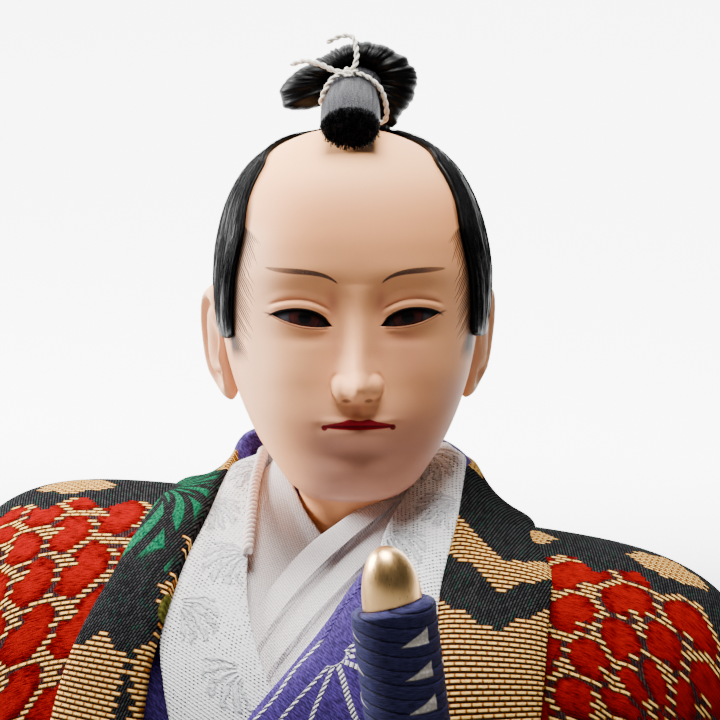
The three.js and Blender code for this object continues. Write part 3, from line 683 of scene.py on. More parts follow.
def clipped(line):
    """A lid line, kept to the corner line past the ends of the eye."""
    return lambda side: np.where(np.abs(lid_share(side)) < 1, line(side),
                                 corner_line(np.clip(side, EYE_MIDDLE - EYE_REACH, EYE_MIDDLE + EYE_REACH)))


def head_shell(columns=270, above=126, inside=14, face=72, below=66):
    """The head as a net whose rows run along the lid edges and the line of the mouth."""
    angle = head_angles(columns)
    top = row_at(angle, clipped(upper_lid))
    bottom = np.maximum(row_at(angle, clipped(lower_lid)), top + 0.004)
    mouth = row_at(angle, lambda side: MOUTH_LINE + 0 * side)
    s = np.linspace(0, 1, above, endpoint=False)[:, None]
    rows = [top * (0.6 * s + 0.4 * (1 - (1 - s) ** 2))]
    s = np.linspace(0, 1, inside + 1)[:, None]
    eased = np.clip((s - 0.08) / 0.84, 0, 1) * 0.9 + 0.1 * s
    rows.append(mix(top, bottom, eased))
    s = np.linspace(0, 1, face + 1)[1:, None]
    rows.append(mix(bottom, mouth, s))
    s = np.linspace(0, 1, below + 1)[1:, None]
    rows.append(mix(mouth, 19.0, 0.6 * s + 0.4 * s * s))
    row = np.concatenate(rows)
    turn = np.broadcast_to(angle, row.shape)
    point, ahead = skull_point(row, turn)
    x, z = point[..., 0], point[..., 2]
    facing = smooth(-0.1, 0.35, ahead)
    point[..., 1] -= facing * (soft_relief(x, z) + fine_relief(x, z))
    open_rows = slice(above, above + inside + 1)
    step = np.arange(inside + 1)
    sunk = np.interp(np.minimum(step, inside - step), [0, 1, 2, 3], [0, 0.3, 0.9, 2.2])
    side = np.abs(x[open_rows])
    opened = np.clip((clipped(upper_lid)(side) - clipped(lower_lid)(side)) / 0.35, 0, 1)
    point[open_rows, :, 1] += facing[open_rows] * sunk[:, None] * opened
    return point


def face_uv(point):
    """UV of a point of the head: across the face and up it, in millimetres."""
    return point[..., [0, 2]]


def wrapped(uv):
    """UV of a net of rings, with its first column again at the seam."""
    return np.concatenate([uv, uv[:, :1]], 1)


def disc(ring):
    """A ring with its middle, and the triangles between them."""
    count = len(ring)
    faces = np.array([[k, (k + 1) % count, count] for k in range(count)])
    return np.vstack([ring, ring.mean(0)]), faces


def closed_net(build, point, uv):
    """A net of rings in the head's frame, closed by triangles over each end."""
    build.grid(on_body(point), wrapped(uv), wrap=True)
    for end in (0, -1):
        spots, faces = disc(point[end])
        build.add(on_body(spots), faces, disc(uv[end])[0][faces])


def add_head(build):
    point = head_shell()
    closed_net(build, point, face_uv(point))


def add_ear(build, side):
    """An ear: a flat oval that leans back, with its rim, inner fold and hollow."""
    rows, columns = 48, 72
    rise = np.linspace(0.001, math.pi - 0.001, rows)[:, None]
    turn = (2 * math.pi * np.arange(columns) / columns)[None, :]
    out = np.sin(rise) * np.cos(turn)
    p, q = np.sin(rise) * np.sin(turn), np.cos(rise) + 0 * turn
    reach = np.hypot(p, q)
    outward = smooth(0.0, 0.4, out)
    lobe = smooth(-0.45, -0.85, q)
    rim = 0.9 * hill((reach - 0.84) / 0.13) * (1 - 0.7 * lobe)
    fold = 0.55 * hill((np.hypot(p - 0.1, q - 0.05) - 0.5) / 0.1) * smooth(-0.6, 0.2, p) * (1 - lobe)
    hollow = -1.2 * hill((p + 0.12) / 0.32, (q + 0.1) / 0.4)
    valley = -0.75 * hill((reach - 0.64) / 0.12) * (1 - lobe)
    tragus = 0.7 * hill((p + 0.72) / 0.16, (q + 0.12) / 0.2)
    push = outward * (rim + fold + hollow + valley + tragus)
    width = 1 - 0.22 * smooth(-0.2, -1.0, q)
    local = np.stack([side * (1.7 * out + push), 3.7 * p * width, 7.6 * q], -1)
    turned = np.array(Matrix.Rotation(-side * 0.35, 3, "Z") @ Matrix.Rotation(side * 0.16, 3, "Y")
                      @ Matrix.Rotation(0.12, 3, "X"))
    point = local @ turned.T + np.array([side * 15.6, 3.0, -3.9])
    build.grid(on_body(point), wrapped(face_uv(point)), wrap=True)


def eye_shell(side, inset, bulge):
    """The front of a glass eye, close behind the lids."""
    rows, columns = 36, 64
    angle = np.interp(np.linspace(2.3, 11.2, columns), *eye_angles())
    top = row_at(angle, lambda s: clipped(upper_lid)(s) + 0.55)
    bottom = row_at(angle, lambda s: clipped(lower_lid)(s) - 0.55)
    row = mix(top, bottom, np.linspace(0, 1, rows)[:, None])
    point, _ = skull_point(row, np.broadcast_to(angle, row.shape))
    x, z = point[..., 0], point[..., 2]
    point[..., 1] += inset - soft_relief(x, z) - bulge * hill((x - 6.4) / 2.4, (z - 0.1) / 1.6)
    point[..., 0] *= side
    return point


def eye_angles():
    angle = np.linspace(0, 1.4, 400)
    point, _ = skull_point(np.full(angle.shape, 7.9), angle)
    return point[:, 0], angle


# Hair: a cap on the sides and the back of the skull. Its front edge is in degrees from the
# face, by row of the skull, and its lower edge is a row of the skull, by degrees.
HAIRLINE = [(0.6, 150), (1, 118), (2, 80), (2.9, 58.5), (4, 55.5), (5, 52.8), (5.6, 54.5),
            (6.4, 58), (8.3, 63.8)]
HAIR_BELOW = [(62, 8.3), (72, 8.5), (80, 8.4), (92, 7.8), (106, 7.5), (114, 8.8), (130, 10.6),
              (180, 11.6)]


def hair_spot(across, share):
    """Row, angle and thickness of the hair cap, from edge to edge and from crown to nape."""
    crown = HAIRLINE[0][0]
    start = through(HAIRLINE, mix(crown, HAIRLINE[-1][0], share))
    turn = mix(start, 358 - start, across)
    degrees = 180 - np.abs(180 - turn)
    row = mix(crown, through(HAIR_BELOW, degrees), share)
    edge = np.abs(2 * across - 1) ** 8
    lean = np.sin(np.radians(turn))
    wing = (0.22 + 0.12 * lean) * hill((degrees - 88) / 24, (row - 6.6) / 1.8)
    full = (HAIR_THICKNESS + 0.3 * lean + wing) * (1 - 0.4 * edge)
    return row, np.radians(turn), full * (0.5 + 0.5 * smooth(0.05, 0.45, share))


def add_hair_cap(build, levels=110, columns=300):
    across = np.linspace(0, 1, columns + 1)[None, :]
    share = np.linspace(0, 1, levels + 1)[:, None]
    row, turn, thick = hair_spot(across, share)
    run = across * 105 + 0 * share
    drift = 0.8 * np.sin(share * 5 + across * 9)
    groove = 0.1 * strands(run + drift, 0.55, 3) + 0.05 * strands(run + drift, 0.22, 4)
    outer, _ = skull_point(row, turn, thick + groove)
    inner, _ = skull_point(row, turn, HAIR_INSIDE)
    uv = np.stack([run + drift, share * 38 + 0 * across], -1)
    build.slab(on_body(outer), on_body(inner), uv)


def hair_lines(count, low, high, lift, steps=9):
    """Single hairs along the cap, from a share across it and down it."""
    lines = []
    for _ in range(count):
        across = random.uniform(low, high) + np.linspace(0, random.normal(0, 0.012), steps)
        first = random.uniform(0.0, 0.8)
        share = np.linspace(first, min(first + random.uniform(0.15, 0.45), 0.985), steps)
        row, turn, thick = hair_spot(np.clip(across, 0.003, 0.997), share)
        rise = lift * random.uniform(0.2, 1.0) * np.sin(np.linspace(0.3, 2.6, steps))
        point, _ = skull_point(row, turn, thick + 0.02 + rise)
        lines.append(on_body(point))
    return lines


# Topknot: a folded fan of hair on a root, and the tail that is tied and comes forward
TIE_AT = np.array([0.5, -0.6, 26.9])
FAN_AT = np.array([0.6, 1.2, 28.7])
FAN_REACH = [(-54, 7.0), (-50, 7.95), (-36, 7.7), (-17, 8.25), (-1, 8.25), (13, 7.7), (32, 6.6), (49, 5.7),
             (75, 4.9), (98, 4.4), (118, 4.3), (136, 4.5), (163, 6.0), (179, 8.1), (192, 9.2), (202, 9.1),
             (212, 7.4), (221, 5.0)]
TAIL = [((0.9, 3.4, 28.0), (4.0, 2.6)), (tuple(TIE_AT), (2.9, 2.25)), ((0.2, -3.8, 25.8), (3.35, 2.55)),
        ((-0.1, -7.6, 24.2), (3.6, 2.65)), ((-0.3, -10.4, 22.7), (3.6, 2.6))]


FAN_THICKEST = 0.62


def fan_section(angle, beta):
    """A point of the fan: an angle round the tie, and a turn round the bundle's section."""
    first, last = FAN_REACH[0][0], FAN_REACH[-1][0]
    reach = through(FAN_REACH, angle)
    ends = np.minimum((angle - first) / 14, (last - angle) / 16).clip(0, 1)
    share = 0.1 + 0.9 * (1 - np.cos(beta)) / 2
    rounded = np.sqrt(np.clip(1 - ((share - FAN_THICKEST) / (1 - FAN_THICKEST)) ** 2, 0, 1))
    tapered = 0.35 + 0.65 * smooth(0.1, FAN_THICKEST, share)
    thick = 2.9 * np.where(share > FAN_THICKEST, rounded, tapered) * (0.35 + 0.65 * ends ** 0.6)
    groove = strands(angle, 4.5, 11) * 0.13 + strands(angle, 1.9, 12) * 0.07
    front = np.where(beta < math.pi, -1, 1)
    radial = reach * share * (1 + 0.25 * groove / 7) + groove * smooth(0.7, 1, share)
    away = np.radians(angle)
    y = 2.9 + front * (thick + groove * smooth(0.15, 0.4, share))
    return FAN_AT + np.stack([radial * np.cos(away), y, radial * np.sin(away)], -1)


def add_fan(build, columns=230, rows=56):
    angle = np.linspace(FAN_REACH[0][0], FAN_REACH[-1][0], columns)[:, None]
    beta = (2 * math.pi * (np.arange(rows) + 0.5) / rows)[None, :]
    uv = np.stack([angle * 0.14 + 0 * beta, 3 * (1 - np.cos(beta)) + 0 * angle], -1)
    closed_net(build, fan_section(angle, beta), uv)


def add_root(build, rows=40, columns=90):
    """The rounded root of the topknot, which stands on the crown."""
    rise = np.linspace(0.02, math.pi - 0.02, rows)[:, None]
    turn = (2 * math.pi * np.arange(columns) / columns)[None, :]
    groove = 1 + 0.03 * strands(np.degrees(turn), 5, 21)
    x = 4.4 * groove * np.sin(rise) * np.cos(turn)
    y = 3.4 * groove * np.sin(rise) * np.sin(turn)
    z = 4.6 * np.cos(rise) + 0 * turn
    point = np.stack([x + 1.4, y + 6.2, z + 24.2], -1)
    closed_net(build, point, np.stack([turn * 4 + 0 * rise, rise * 4 + 0 * turn], -1))


TAIL_UP = unit(np.cross(np.array([1.0, 0, 0]), np.array(TAIL[-1][0]) - TIE_AT))
TAIL_UV = 2 * UV_STEP


def tail_ring(middle, half, turn):
    return (middle + (half[..., :1] * np.cos(turn)[..., None]) * np.array([1.0, 0, 0])
            + (half[..., 1:] * np.sin(turn)[..., None]) * TAIL_UP)


def add_tail(build, steps=70, sides=150):
    path = Route([at for at, _ in TAIL])
    share = np.linspace(0, 1, steps)
    places = np.linspace(0, 1, len(TAIL))
    half = np.stack([through(list(zip(places, [h[i] for _, h in TAIL])), share) for i in (0, 1)], -1)
    half = half * (1 - 0.06 * smooth(0.985, 1.0, share)[:, None])
    turn = 2 * math.pi * np.arange(sides) / sides
    lump = 1 + 0.022 * strands(np.degrees(turn), 7, 31) + 0.012 * strands(np.degrees(turn), 2.8, 32)
    rings = []
    for k, middle in enumerate(path.at(share)):
        wave = 1 + 0.01 * strands(np.degrees(turn) + 6 * math.sin(5 * share[k]), 12, 33)
        ring = tail_ring(middle, half[k] * np.ones((sides, 1)), turn)
        rings.append(middle + (ring - middle) * (lump * wave)[:, None])
    share = share[:, None]
    uv = np.stack([TAIL_UV + turn * 3.2 + 0 * share, share * 15 + 0 * turn], -1)
    closed_net(build, np.array(rings), uv)


def bristles(count=900):
    """Cut ends of the tail's threads, standing out of its front end."""
    lines = []
    middle, half = np.array(TAIL[-1][0]), np.array(TAIL[-1][1])
    ahead = unit(middle - np.array(TAIL[-2][0]))
    for _ in range(count):
        turn, reach = random.uniform(0, 2 * math.pi), math.sqrt(random.uniform(0, 1)) * 1.02
        base = tail_ring(middle, half[None, :] * reach, np.array([turn]))[0]
        out = unit(base - middle) * random.uniform(-0.1, 0.45) * reach
        length = random.uniform(0.3, 0.95) * (1.1 - 0.3 * reach)
        tip = base + (ahead + out + random.normal(0, 0.14, 3)) * length
        lines.append(on_body(np.array([base - ahead * 0.5, mix(base, tip, 0.5), tip])))
    return lines


# The tie: a two-ply cord round the topknot, knotted in front of the fan
TIE_KNOT = (0.2, -1.3, 29.4)
TIE_ROUND = [TIE_KNOT, (-1.7, -1.6, 28.9), (-3.0, -1.9, 27.2), (-3.4, -1.6, 25.6), (-2.2, -0.6, 24.2),
             (0.6, 0.2, 23.7), (3.4, 0.2, 23.2), (4.5, -0.8, 23.6), (4.5, -1.8, 25.6), (3.7, -2.1, 27.6),
             (1.9, -1.8, 29.0), TIE_KNOT]
TIE_ENDS = [[TIE_KNOT, (-1.6, -1.2, 29.6), (-3.6, -0.6, 30.5), (-5.4, 0.3, 30.9), (-7.0, 1.2, 30.5)],
            [TIE_KNOT, (0.9, -1.2, 30.6), (1.0, -0.6, 32.2), (0.6, 0.4, 33.8), (-0.6, 0.8, 34.0),
             (-2.6, 1.0, 33.2)]]
TIE_PLY = 0.18
TIE_PLY_OFFSET = 0.17
TIE_TWIST = 2.0


def even_line(points, steps):
    """Points along the curve through a list of points, in the head's frame."""
    return on_body(Route(points).at(np.linspace(0, 1, steps)))


def knot_lines():
    """Two tight turns over the knot of the tie."""
    lines = []
    for tilt, reach in ((0.5, 0.75), (-0.6, 0.65)):
        turn = np.linspace(0, 2 * math.pi, 22)
        along = np.array([math.cos(tilt), 0.2, math.sin(tilt)])
        ring = np.cos(turn)[:, None] * along + np.sin(turn)[:, None] * np.array([0, 0.8, 0.3])
        lines.append(on_body(np.array(TIE_KNOT) + reach * ring))
    return lines


# Body: rounded sections across the shoulders, at a distance from the stuffed body
def body_point(share, turn, offset, fold=lambda x: 0 * x):
    """A point of the body: share of the reach to the side, and a turn from front to back."""
    reach = BODY_HALF_WIDTH + offset
    x = share * reach
    roll = np.clip(1 - np.abs(share) ** 7, 0, 1) ** (1 / BODY_ROUNDNESS)
    narrow = np.minimum((np.abs(x) / BODY_HALF_WIDTH) ** 2.4, 1)
    front = (BODY_FRONT * (1 - 0.62 * narrow) + offset + fold(x)) * roll ** 0.35
    back = (BODY_BACK * (1 - 0.5 * narrow) + offset) * roll ** 0.35
    top = (BODY_TOP - SHOULDER_TILT * x + offset) * roll
    flat = 2 / BODY_ROUNDNESS
    y = -power(np.cos(turn), flat) * np.where(np.cos(turn) > 0, front, back)
    return np.stack([x + 0 * turn, y, top * np.sin(turn) ** flat], -1)


def band(inner, outer, steps, across, thickness, sag=lambda t: 0, pleat=lambda u, t: 0, above=0.0):
    """Front and back nets of a band of cloth between two edges, with its UV in millimetres."""
    t = np.linspace(0, 1, steps + 1)
    edge_a, edge_b = Route(inner), Route(outer)
    a, b = edge_a.at(t), edge_b.at(t)
    tangent = unit(edge_a.tangent(t) + edge_b.tangent(t))
    width = unit(b - a)
    normal = unit(np.cross(width, tangent))
    inward = np.einsum("ij,ij->i", normal, (a + b) / 2 - np.array([0, 0, 6])) < 0
    normal[inward] *= -1
    u = np.linspace(0, 1, across + 1)
    spot = mix(a[:, None], b[:, None], u[None, :, None])
    lift = 4 * u * (1 - u) * (sag(t) + 0 * t)[:, None]
    rounded = 0.25 * thickness * np.abs(2 * u - 1) ** 8
    high = lift + pleat(u[None, :], t[:, None]) + above - rounded
    front = spot + high[..., None] * normal[:, None]
    back = spot + (lift - thickness)[..., None] * normal[:, None]
    run = lengths((a + b) / 2)
    wide = np.linalg.norm(b - a, axis=-1)
    uv = np.stack([wide[:, None] * (u - 0.5), run[:, None] + 0 * u], -1)
    return front, back, uv


def under(points, nets, gap, reach=9.0):
    """Points of a body that would come through the cloth on it, pressed below the cloth."""
    moved = points.reshape(-1, 3).copy()
    for back in nets:
        across = np.gradient(back, axis=1)
        along = np.gradient(back, axis=0)
        normal = unit(np.cross(across, along)).reshape(-1, 3)
        spots = back.reshape(-1, 3)
        normal[np.einsum("ij,ij->i", normal, spots - np.array([0, 4, 6])) < 0] *= -1
        tree = KDTree(len(spots))
        for k, spot in enumerate(spots):
            tree.insert(spot, k)
        tree.balance()
        for k, point in enumerate(moved):
            _, near, distance = tree.find(point)
            if distance > reach:
                continue
            step = point - spots[near]
            above = step @ normal[near]
            if -gap < above and np.linalg.norm(step - above * normal[near]) < 0.9:
                moved[k] = point - (above + gap) * normal[near]
    return moved.reshape(points.shape)


# The inner and the outer edge of each band of cloth
INNER_LEFT = (
    [(0, 9.2, 36.4), (-6.5, 7.2, 36.2), (-8.8, 2, 35.3), (-7.6, -2, 34.3), (-5.4, -5.2, 32.4),
     (-3.3, -7.4, 30.0), (-1.2, -9.0, 28.0), (1.2, -10.8, 25.6), (0.4, -15.6, 22.6), (-2, -20.6, 18.4),
     (-4, -24, 14.4), (-4.4, -26.8, 10)],
    [(0, 10.6, 31), (-8, 8.6, 31), (-12.6, 3, 31.2), (-13.2, -3, 29.4), (-12.8, -8, 27.4),
     (-12, -12.4, 25), (-11, -15.8, 22.8), (-9.8, -18.8, 20.4), (-8.4, -21.8, 17.4),
     (-7.4, -24.6, 13.6), (-6.8, -27.4, 9)])
INNER_RIGHT = (
    [(0, 9.2, 36.4), (7, 7.2, 36.6), (9.9, 3, 36.6), (9.2, -1.2, 35.5), (7.7, -4.2, 34.2),
     (4.8, -7.4, 32.3), (1.1, -9.8, 29.7), (-1.5, -11.4, 27.8), (-4.2, -15, 25.0), (-6.6, -19.6, 21.2),
     (-7.8, -22.6, 17.8), (-8, -25.2, 14)],
    [(0, 10.6, 31), (8.5, 8.6, 31.5), (12.6, 5, 33), (13, -3, 31.4), (12.4, -8.4, 29.2),
     (11, -13.6, 26.6), (9, -17.6, 24.0), (6.6, -21, 21.0), (4, -23.8, 18.2), (1.4, -25.6, 15.4),
     (-1.2, -26.8, 12.8), (-3, -28.6, 9)])
BROCADE_LEFT = (
    [(0, 11.8, 34.6), (-8, 10, 34.6), (-11.9, 6.6, 34.8), (-11.4, 3, 34.4), (-10.8, -4, 31.8),
     (-9.6, -11, 28.6), (-8.7, -16.4, 25.2), (-7.4, -21, 21.4), (-5.4, -25, 17.2), (-2.6, -28, 12),
     (-0.6, -29.8, 6), (0.4, -31, -6)],
    [(0, 12.8, 29.5), (-9, 11, 29.5), (-13.6, 7.4, 30.5), (-15.4, 3, 33.2), (-15.7, -3, 31.9),
     (-16.1, -9.6, 28.9), (-16.8, -16.8, 25.4), (-17.5, -21.6, 21.8), (-17.3, -25.4, 17.2),
     (-16, -28.4, 12.4), (-14.4, -30.4, 6), (-13.2, -31.6, -6)])
BROCADE_RIGHT = (
    [(0, 11.8, 34.6), (8, 10, 35.4), (12, 6.6, 36.6), (11.7, 3, 36.9), (9.8, -4, 34.0), (8.6, -9.2, 31.6),
     (7.9, -13.8, 29.4), (8.1, -18.6, 26.2), (9.3, -23.6, 22), (11.4, -28, 16.4), (13.4, -30.8, 10),
     (15.6, -32.4, 3), (16.6, -33, -6)],
    [(0, 12.8, 29.5), (9, 11, 30), (13.6, 7.4, 32), (15.1, 3, 35.5), (15.6, -2, 33.1), (16.1, -9, 30.6),
     (16.1, -15, 27.8), (16, -20.2, 24.2), (16.6, -25, 19.8), (17.6, -28.6, 15), (18.4, -31, 9),
     (19, -32.8, 2), (19.4, -33.4, -6)])
LAPEL = (
    [(-19.2, -33.4, -6), (-19, -32.4, 4), (-18.7, -31.1, 9.3), (-18.1, -28.8, 15.8), (-17.3, -26.4, 19.9),
     (-16.6, -22.4, 24.0), (-16, -16, 27.8), (-15.4, -8.6, 30.8), (-15.3, -1, 33.4), (-15.4, 4, 34.8),
     (-15.8, 9.8, 35), (-9.8, 16, 35), (0, 18, 35), (9.8, 16, 34.2), (14.9, 10.4, 33.9), (15.4, 4, 34.5),
     (15.9, -1, 33.7), (16.3, -8.6, 31.0), (16.2, -16, 27.2), (16.1, -21.4, 23.2), (16.8, -25.4, 19.4),
     (18, -28.6, 15.2), (18.9, -30.8, 10), (19.5, -32.4, 4), (19.7, -33.4, -6)],
    [(-31.6, -29.6, -6), (-31, -29.2, 4), (-30, -28, 10), (-28.2, -26.6, 16.2), (-26.4, -24.6, 20.6),
     (-24.5, -21.4, 24.6), (-23.2, -16.4, 28.2), (-22.4, -8.6, 30.8), (-22.2, -2, 31.4), (-22, 5, 31),
     (-21, 13, 28.6), (-13.4, 20, 24.6), (0, 22.6, 22.6), (14.4, 19.4, 24), (21.9, 12.2, 26.2),
     (24.2, 5, 25.9), (25.6, -2, 25.8), (27.4, -8.6, 26.1), (28.8, -15, 25.4), (29.2, -19.6, 22.4),
     (29.5, -23.4, 18.6), (29.6, -25.8, 15), (29.5, -27.8, 10.6), (29.3, -29.4, 4), (29.2, -30.2, -6)])
PANEL = (
    [(8.4, -15, 29.0), (7.4, -17, 27.6), (5, -20.2, 24.4), (2.9, -23.8, 21), (-0.7, -27.8, 16.1),
     (-4.8, -30.3, 10.8), (-8.6, -32, 4.5), (-12, -33, -6)],
    [(12.4, -13.4, 28.4), (13.6, -16.6, 26.6), (15.6, -20.6, 22.8), (17.4, -24.4, 18.8), (19.2, -27, 14.6),
     (20.2, -28.8, 10.6), (20.6, -30, 4.5), (20.6, -30.8, -6)])
ROLL = (
    [(-15.4, 3.2, 33.4), (-15.5, 8.4, 36.0), (-9.8, 13.8, 37), (0, 15.6, 37), (9.8, 13.8, 35.6),
     (14.6, 9, 34), (14.8, 5, 32.6)],
    [(-15.6, 3.2, 27), (-15.7, 8.6, 27), (-10, 14, 27), (0, 15.8, 27), (10, 14, 27), (15, 9, 27),
     (15.2, 5, 27)])
# Level sections of the mound under the collars: front, back, half width and height
MOUND = [(-22, 15, 18, 14), (-18, 15, 18.4, 22), (-14, 15, 18.2, 27), (-9.6, 14.6, 16.6, 30),
         (-6.4, 13.6, 14.6, 32.6)]


PANEL_UV = UV_STEP
ROLL_UV = 2 * UV_STEP
CLOTH = 1.0
COLLAR_GAP = 0.45


def close_ends(build, rings):
    """A face over each end of a net of rings."""
    for ring in (rings[0], rings[-1]):
        build.add(ring, np.arange(len(ring))[None, :])


def cloth_backs(*bands):
    """Coarse nets of the backs of bands of cloth, to press what lies under them."""
    return [band(*edges, 90, 24, CLOTH)[1] for edges in bands]


def add_body(build, cloth, rows=160, columns=110):
    share = np.sin(np.linspace(-1, 1, rows) * math.pi / 2 * 0.985)[:, None]
    turn = np.linspace(0, math.pi, columns)[None, :]
    body = under(body_point(share, turn, ROBE_OFFSET, shoulder_dip), cloth, COLLAR_GAP)
    build.grid(body, wrapped(body[..., [0, 2]]), wrap=True)
    close_ends(build, body)


def add_mound(build, cloth, rows=60, columns=120):
    """The mound under the collars. Its top sinks towards the front."""
    level = np.linspace(0, len(MOUND) - 1, rows)
    front, back, half, height = (np.interp(level, np.arange(len(MOUND)), side)[:, None]
                                 for side in np.array(MOUND).T)
    around = (2 * math.pi * np.arange(columns) / columns)[None, :]
    y = mix(front, back, (1 - np.cos(around)) / 2)
    dip = level[:, None] * 1.35 * smooth(4, -9, y)
    mound = np.stack([half * np.sin(around), y, height - dip], -1)
    lid = mix(mound[-1:], mound[-1].mean(0), np.linspace(0.05, 0.95, 16)[:, None, None])
    mound = under(np.concatenate([mound, lid]), cloth, COLLAR_GAP)
    build.grid(mound, wrapped(mound[..., [0, 2]]), wrap=True)
    close_ends(build, mound)


def add_fold(build, edges, steps, across, thick, sag, start, over=()):
    """A panel or roll of the robe. Its UV runs from its inner edge, where u is the given start."""
    front, back, uv = band(*edges, steps, across, thick, sag=lambda t: sag, above=0.15)
    build.slab(under(front, over, 0.25), under(back, over, 1.6), uv - uv[:, :1] * [1, 0] + [start, 0])


def robe_mesh():
    """The clothed body, the mound under the collars, the panel across the chest and the roll."""
    build = Build()
    cloth = cloth_backs(INNER_LEFT, INNER_RIGHT, BROCADE_LEFT)
    add_body(build, cloth)
    add_mound(build, cloth)
    add_fold(build, PANEL, 140, 44, 3.2, 0.8, PANEL_UV, cloth_backs(BROCADE_RIGHT))
    add_fold(build, ROLL, 120, 24, 2.2, 0.25, ROLL_UV)
    return build.mesh("robe", cut=True)


def collar_mesh(name, sides, steps, across, thickness, pleats=None, **style):
    """Bands of cloth in one mesh, each with its own edges and, where given, its own pleats."""
    build = Build()
    for side, edges in enumerate(sides):
        if pleats:
            style["pleat"] = pleats[side]
        front, back, uv = band(*edges, steps, across, thickness, **style)
        build.slab(front, back, uv + [UV_STEP * side, 0])
    return build.mesh(name, cut=True)


def inner_left_pleat(u, t):
    return 0.42 * (np.abs(((2.6 * u + 0.1) % 1) - 0.5) * 2 - 0.5) * smooth(0.25, 0.5, t)


def inner_right_pleat(u, t):
    return 0.7 * ((3 * u) % 1 - 0.5) * smooth(0.2, 0.4, t)


def shoulder_dip(x):
    """How far the cloth sinks beside the collar on +X."""
    return -0.9 * hill((x - 24) / 8)


def vest_fold(x):
    return shoulder_dip(x) - 0.9 * sum(hill(x - at) for at in VEST_PLEATS)


def vest_mesh():
    """The vest: a shell over the body, open in front and round behind the neck."""
    reach = BODY_HALF_WIDTH + VEST_OUTSIDE
    side = VEST_OPENING + (reach * 0.9993 - VEST_OPENING) * np.sin(np.linspace(0, 1, 60) * math.pi / 2)
    middle = np.linspace(-VEST_OPENING, VEST_OPENING, 81)
    turns = np.linspace(0, 1, 131)
    points, lining, faces, marks, count = [], [], [], [], 0
    for stations, is_back in ((-side[::-1], False), (middle, True), (side, False)):
        x = stations[:, None]
        start = 0 * x
        if is_back:
            rim = 2 + VEST_OPENING_BACK * np.sqrt(np.clip(1 - (x / VEST_OPENING) ** 2, 0, 1))
            search = np.linspace(math.pi / 2 - 0.2, math.pi, 500)
            depth = body_point(x / reach, search[None, :], VEST_OUTSIDE)[..., 1]
            start = np.array([[np.interp(edge, row, search)] for edge, row in zip(rim[:, 0], depth)])
        turn = start + (math.pi - start) * turns[None, :]
        if not is_back:
            front = np.linspace(0, 1.42, 66)
            turn = np.concatenate([front, mix(front[-1] + 0.01, math.pi, turns)])[None, :] + 0 * x
        outer = body_point(x / reach, turn, VEST_OUTSIDE, vest_fold)
        inner = body_point(x / reach, turn, VEST_INSIDE, vest_fold)
        run = np.concatenate([0 * x, np.cumsum(np.linalg.norm(np.diff(outer, axis=1), axis=-1), 1)], 1)
        ridge = np.array([np.interp(math.pi / 2, row, length) for row, length in zip(turn, run)])
        uv = np.stack([x + 0 * turn, run - ridge[:, None]], -1)
        rows, columns = turn.shape
        order = count + np.arange(rows * columns).reshape(rows, columns)
        quads = np.stack([order[:-1, :-1], order[:-1, 1:], order[1:, 1:], order[1:, :-1]], -1)
        faces.append(quads.reshape(-1, 4))
        points.append(outer.reshape(-1, 3))
        lining.append(inner.reshape(-1, 3))
        marks.append(uv.reshape(-1, 2))
        count += rows * columns
    build = Build()
    build.shell(*(np.concatenate(part) for part in (points, lining, faces, marks)))
    return build.mesh("vest")


def hilt_axis(height):
    t = (height - HILT_FOOT[2]) / (HILT_TOP[2] - HILT_FOOT[2])
    return HILT_FOOT + (HILT_TOP - HILT_FOOT) * t[..., None]


def oval(height, half, out, turn):
    middle = hilt_axis(height)
    return np.stack([middle[..., 0] + half[0] * out * np.cos(turn),
                     middle[..., 1] + half[1] * out * np.sin(turn), height + 0 * turn], -1)


def grip_top(turn):
    """Height of the last turn of tape, which ends lower on -X."""
    return HILT_TOP[2] - 0.9 * (1 - np.cos(turn + 0.2))


def tape_step(turn, height):
    """Share of the way up one turn of tape, for numbers or Values. The turns slant."""
    return (height * (1 / TAPE_PITCH) - 0.45 * np.sin(turn - 1.0)) % 1.0


def grip_lift(turn, height):
    """How far the turns of tape stand out, as a share: they lie over each other like low steps."""
    step = tape_step(turn, height)
    return 0.018 * smooth(0.0, 0.75, step) * smooth(1.0, 0.82, step)


def round_uv(turn, height):
    """UV of level rings: the turn, on to a full one at the seam, and the height."""
    return np.stack([np.append(turn, 2 * math.pi)[None, :] + 0 * height[:, :1], wrapped(height)], -1)


def grip_mesh(sides=130, rows=200):
    build = Build()
    turn = (2 * math.pi * np.arange(sides) / sides)[None, :]
    top = grip_top(turn)
    bend = np.linspace(math.pi / 2, 0, 14)[:-1, None]
    side = mix(top - GRIP_EDGE, -1.5, np.linspace(0, 1, rows)[:, None])
    height = np.concatenate([top, top, top - GRIP_EDGE * (1 - np.sin(bend)), side])
    out = np.concatenate([[[0.7], [0.78]], 1 - 0.17 * np.sin(bend) ** 3, np.ones((rows, 1))])
    point = oval(height, GRIP_HALF, out * (1 + grip_lift(turn, height)), turn)
    build.grid(point, round_uv(turn, height), wrap=True)
    build.add(*disc(point[0]))
    return build.mesh("sword_grip", cut=True)


def pommel_mesh(sides=120, roundness=2.15):
    build = Build()
    turn = (2 * math.pi * np.arange(sides) / sides)[None, :]
    base, top = grip_top(turn) + 0.03, HILT_TOP[2] + POMMEL_HEIGHT
    tip = 0.9 + 0.1 * np.sin(np.linspace(0, 1, 30)[1:] * math.pi / 2)
    t = np.concatenate([np.linspace(0, 0.9, 50), tip])
    narrow = np.maximum(0.002, np.clip(1 - t ** roundness, 0, 1) ** (1 / roundness))[:, None]
    height = mix(base, top, t[:, None])
    point = oval(height, POMMEL_HALF, narrow, turn)
    build.grid(point, round_uv(turn, height), wrap=True)
    close_ends(build, point)
    return build.mesh("sword_pommel")


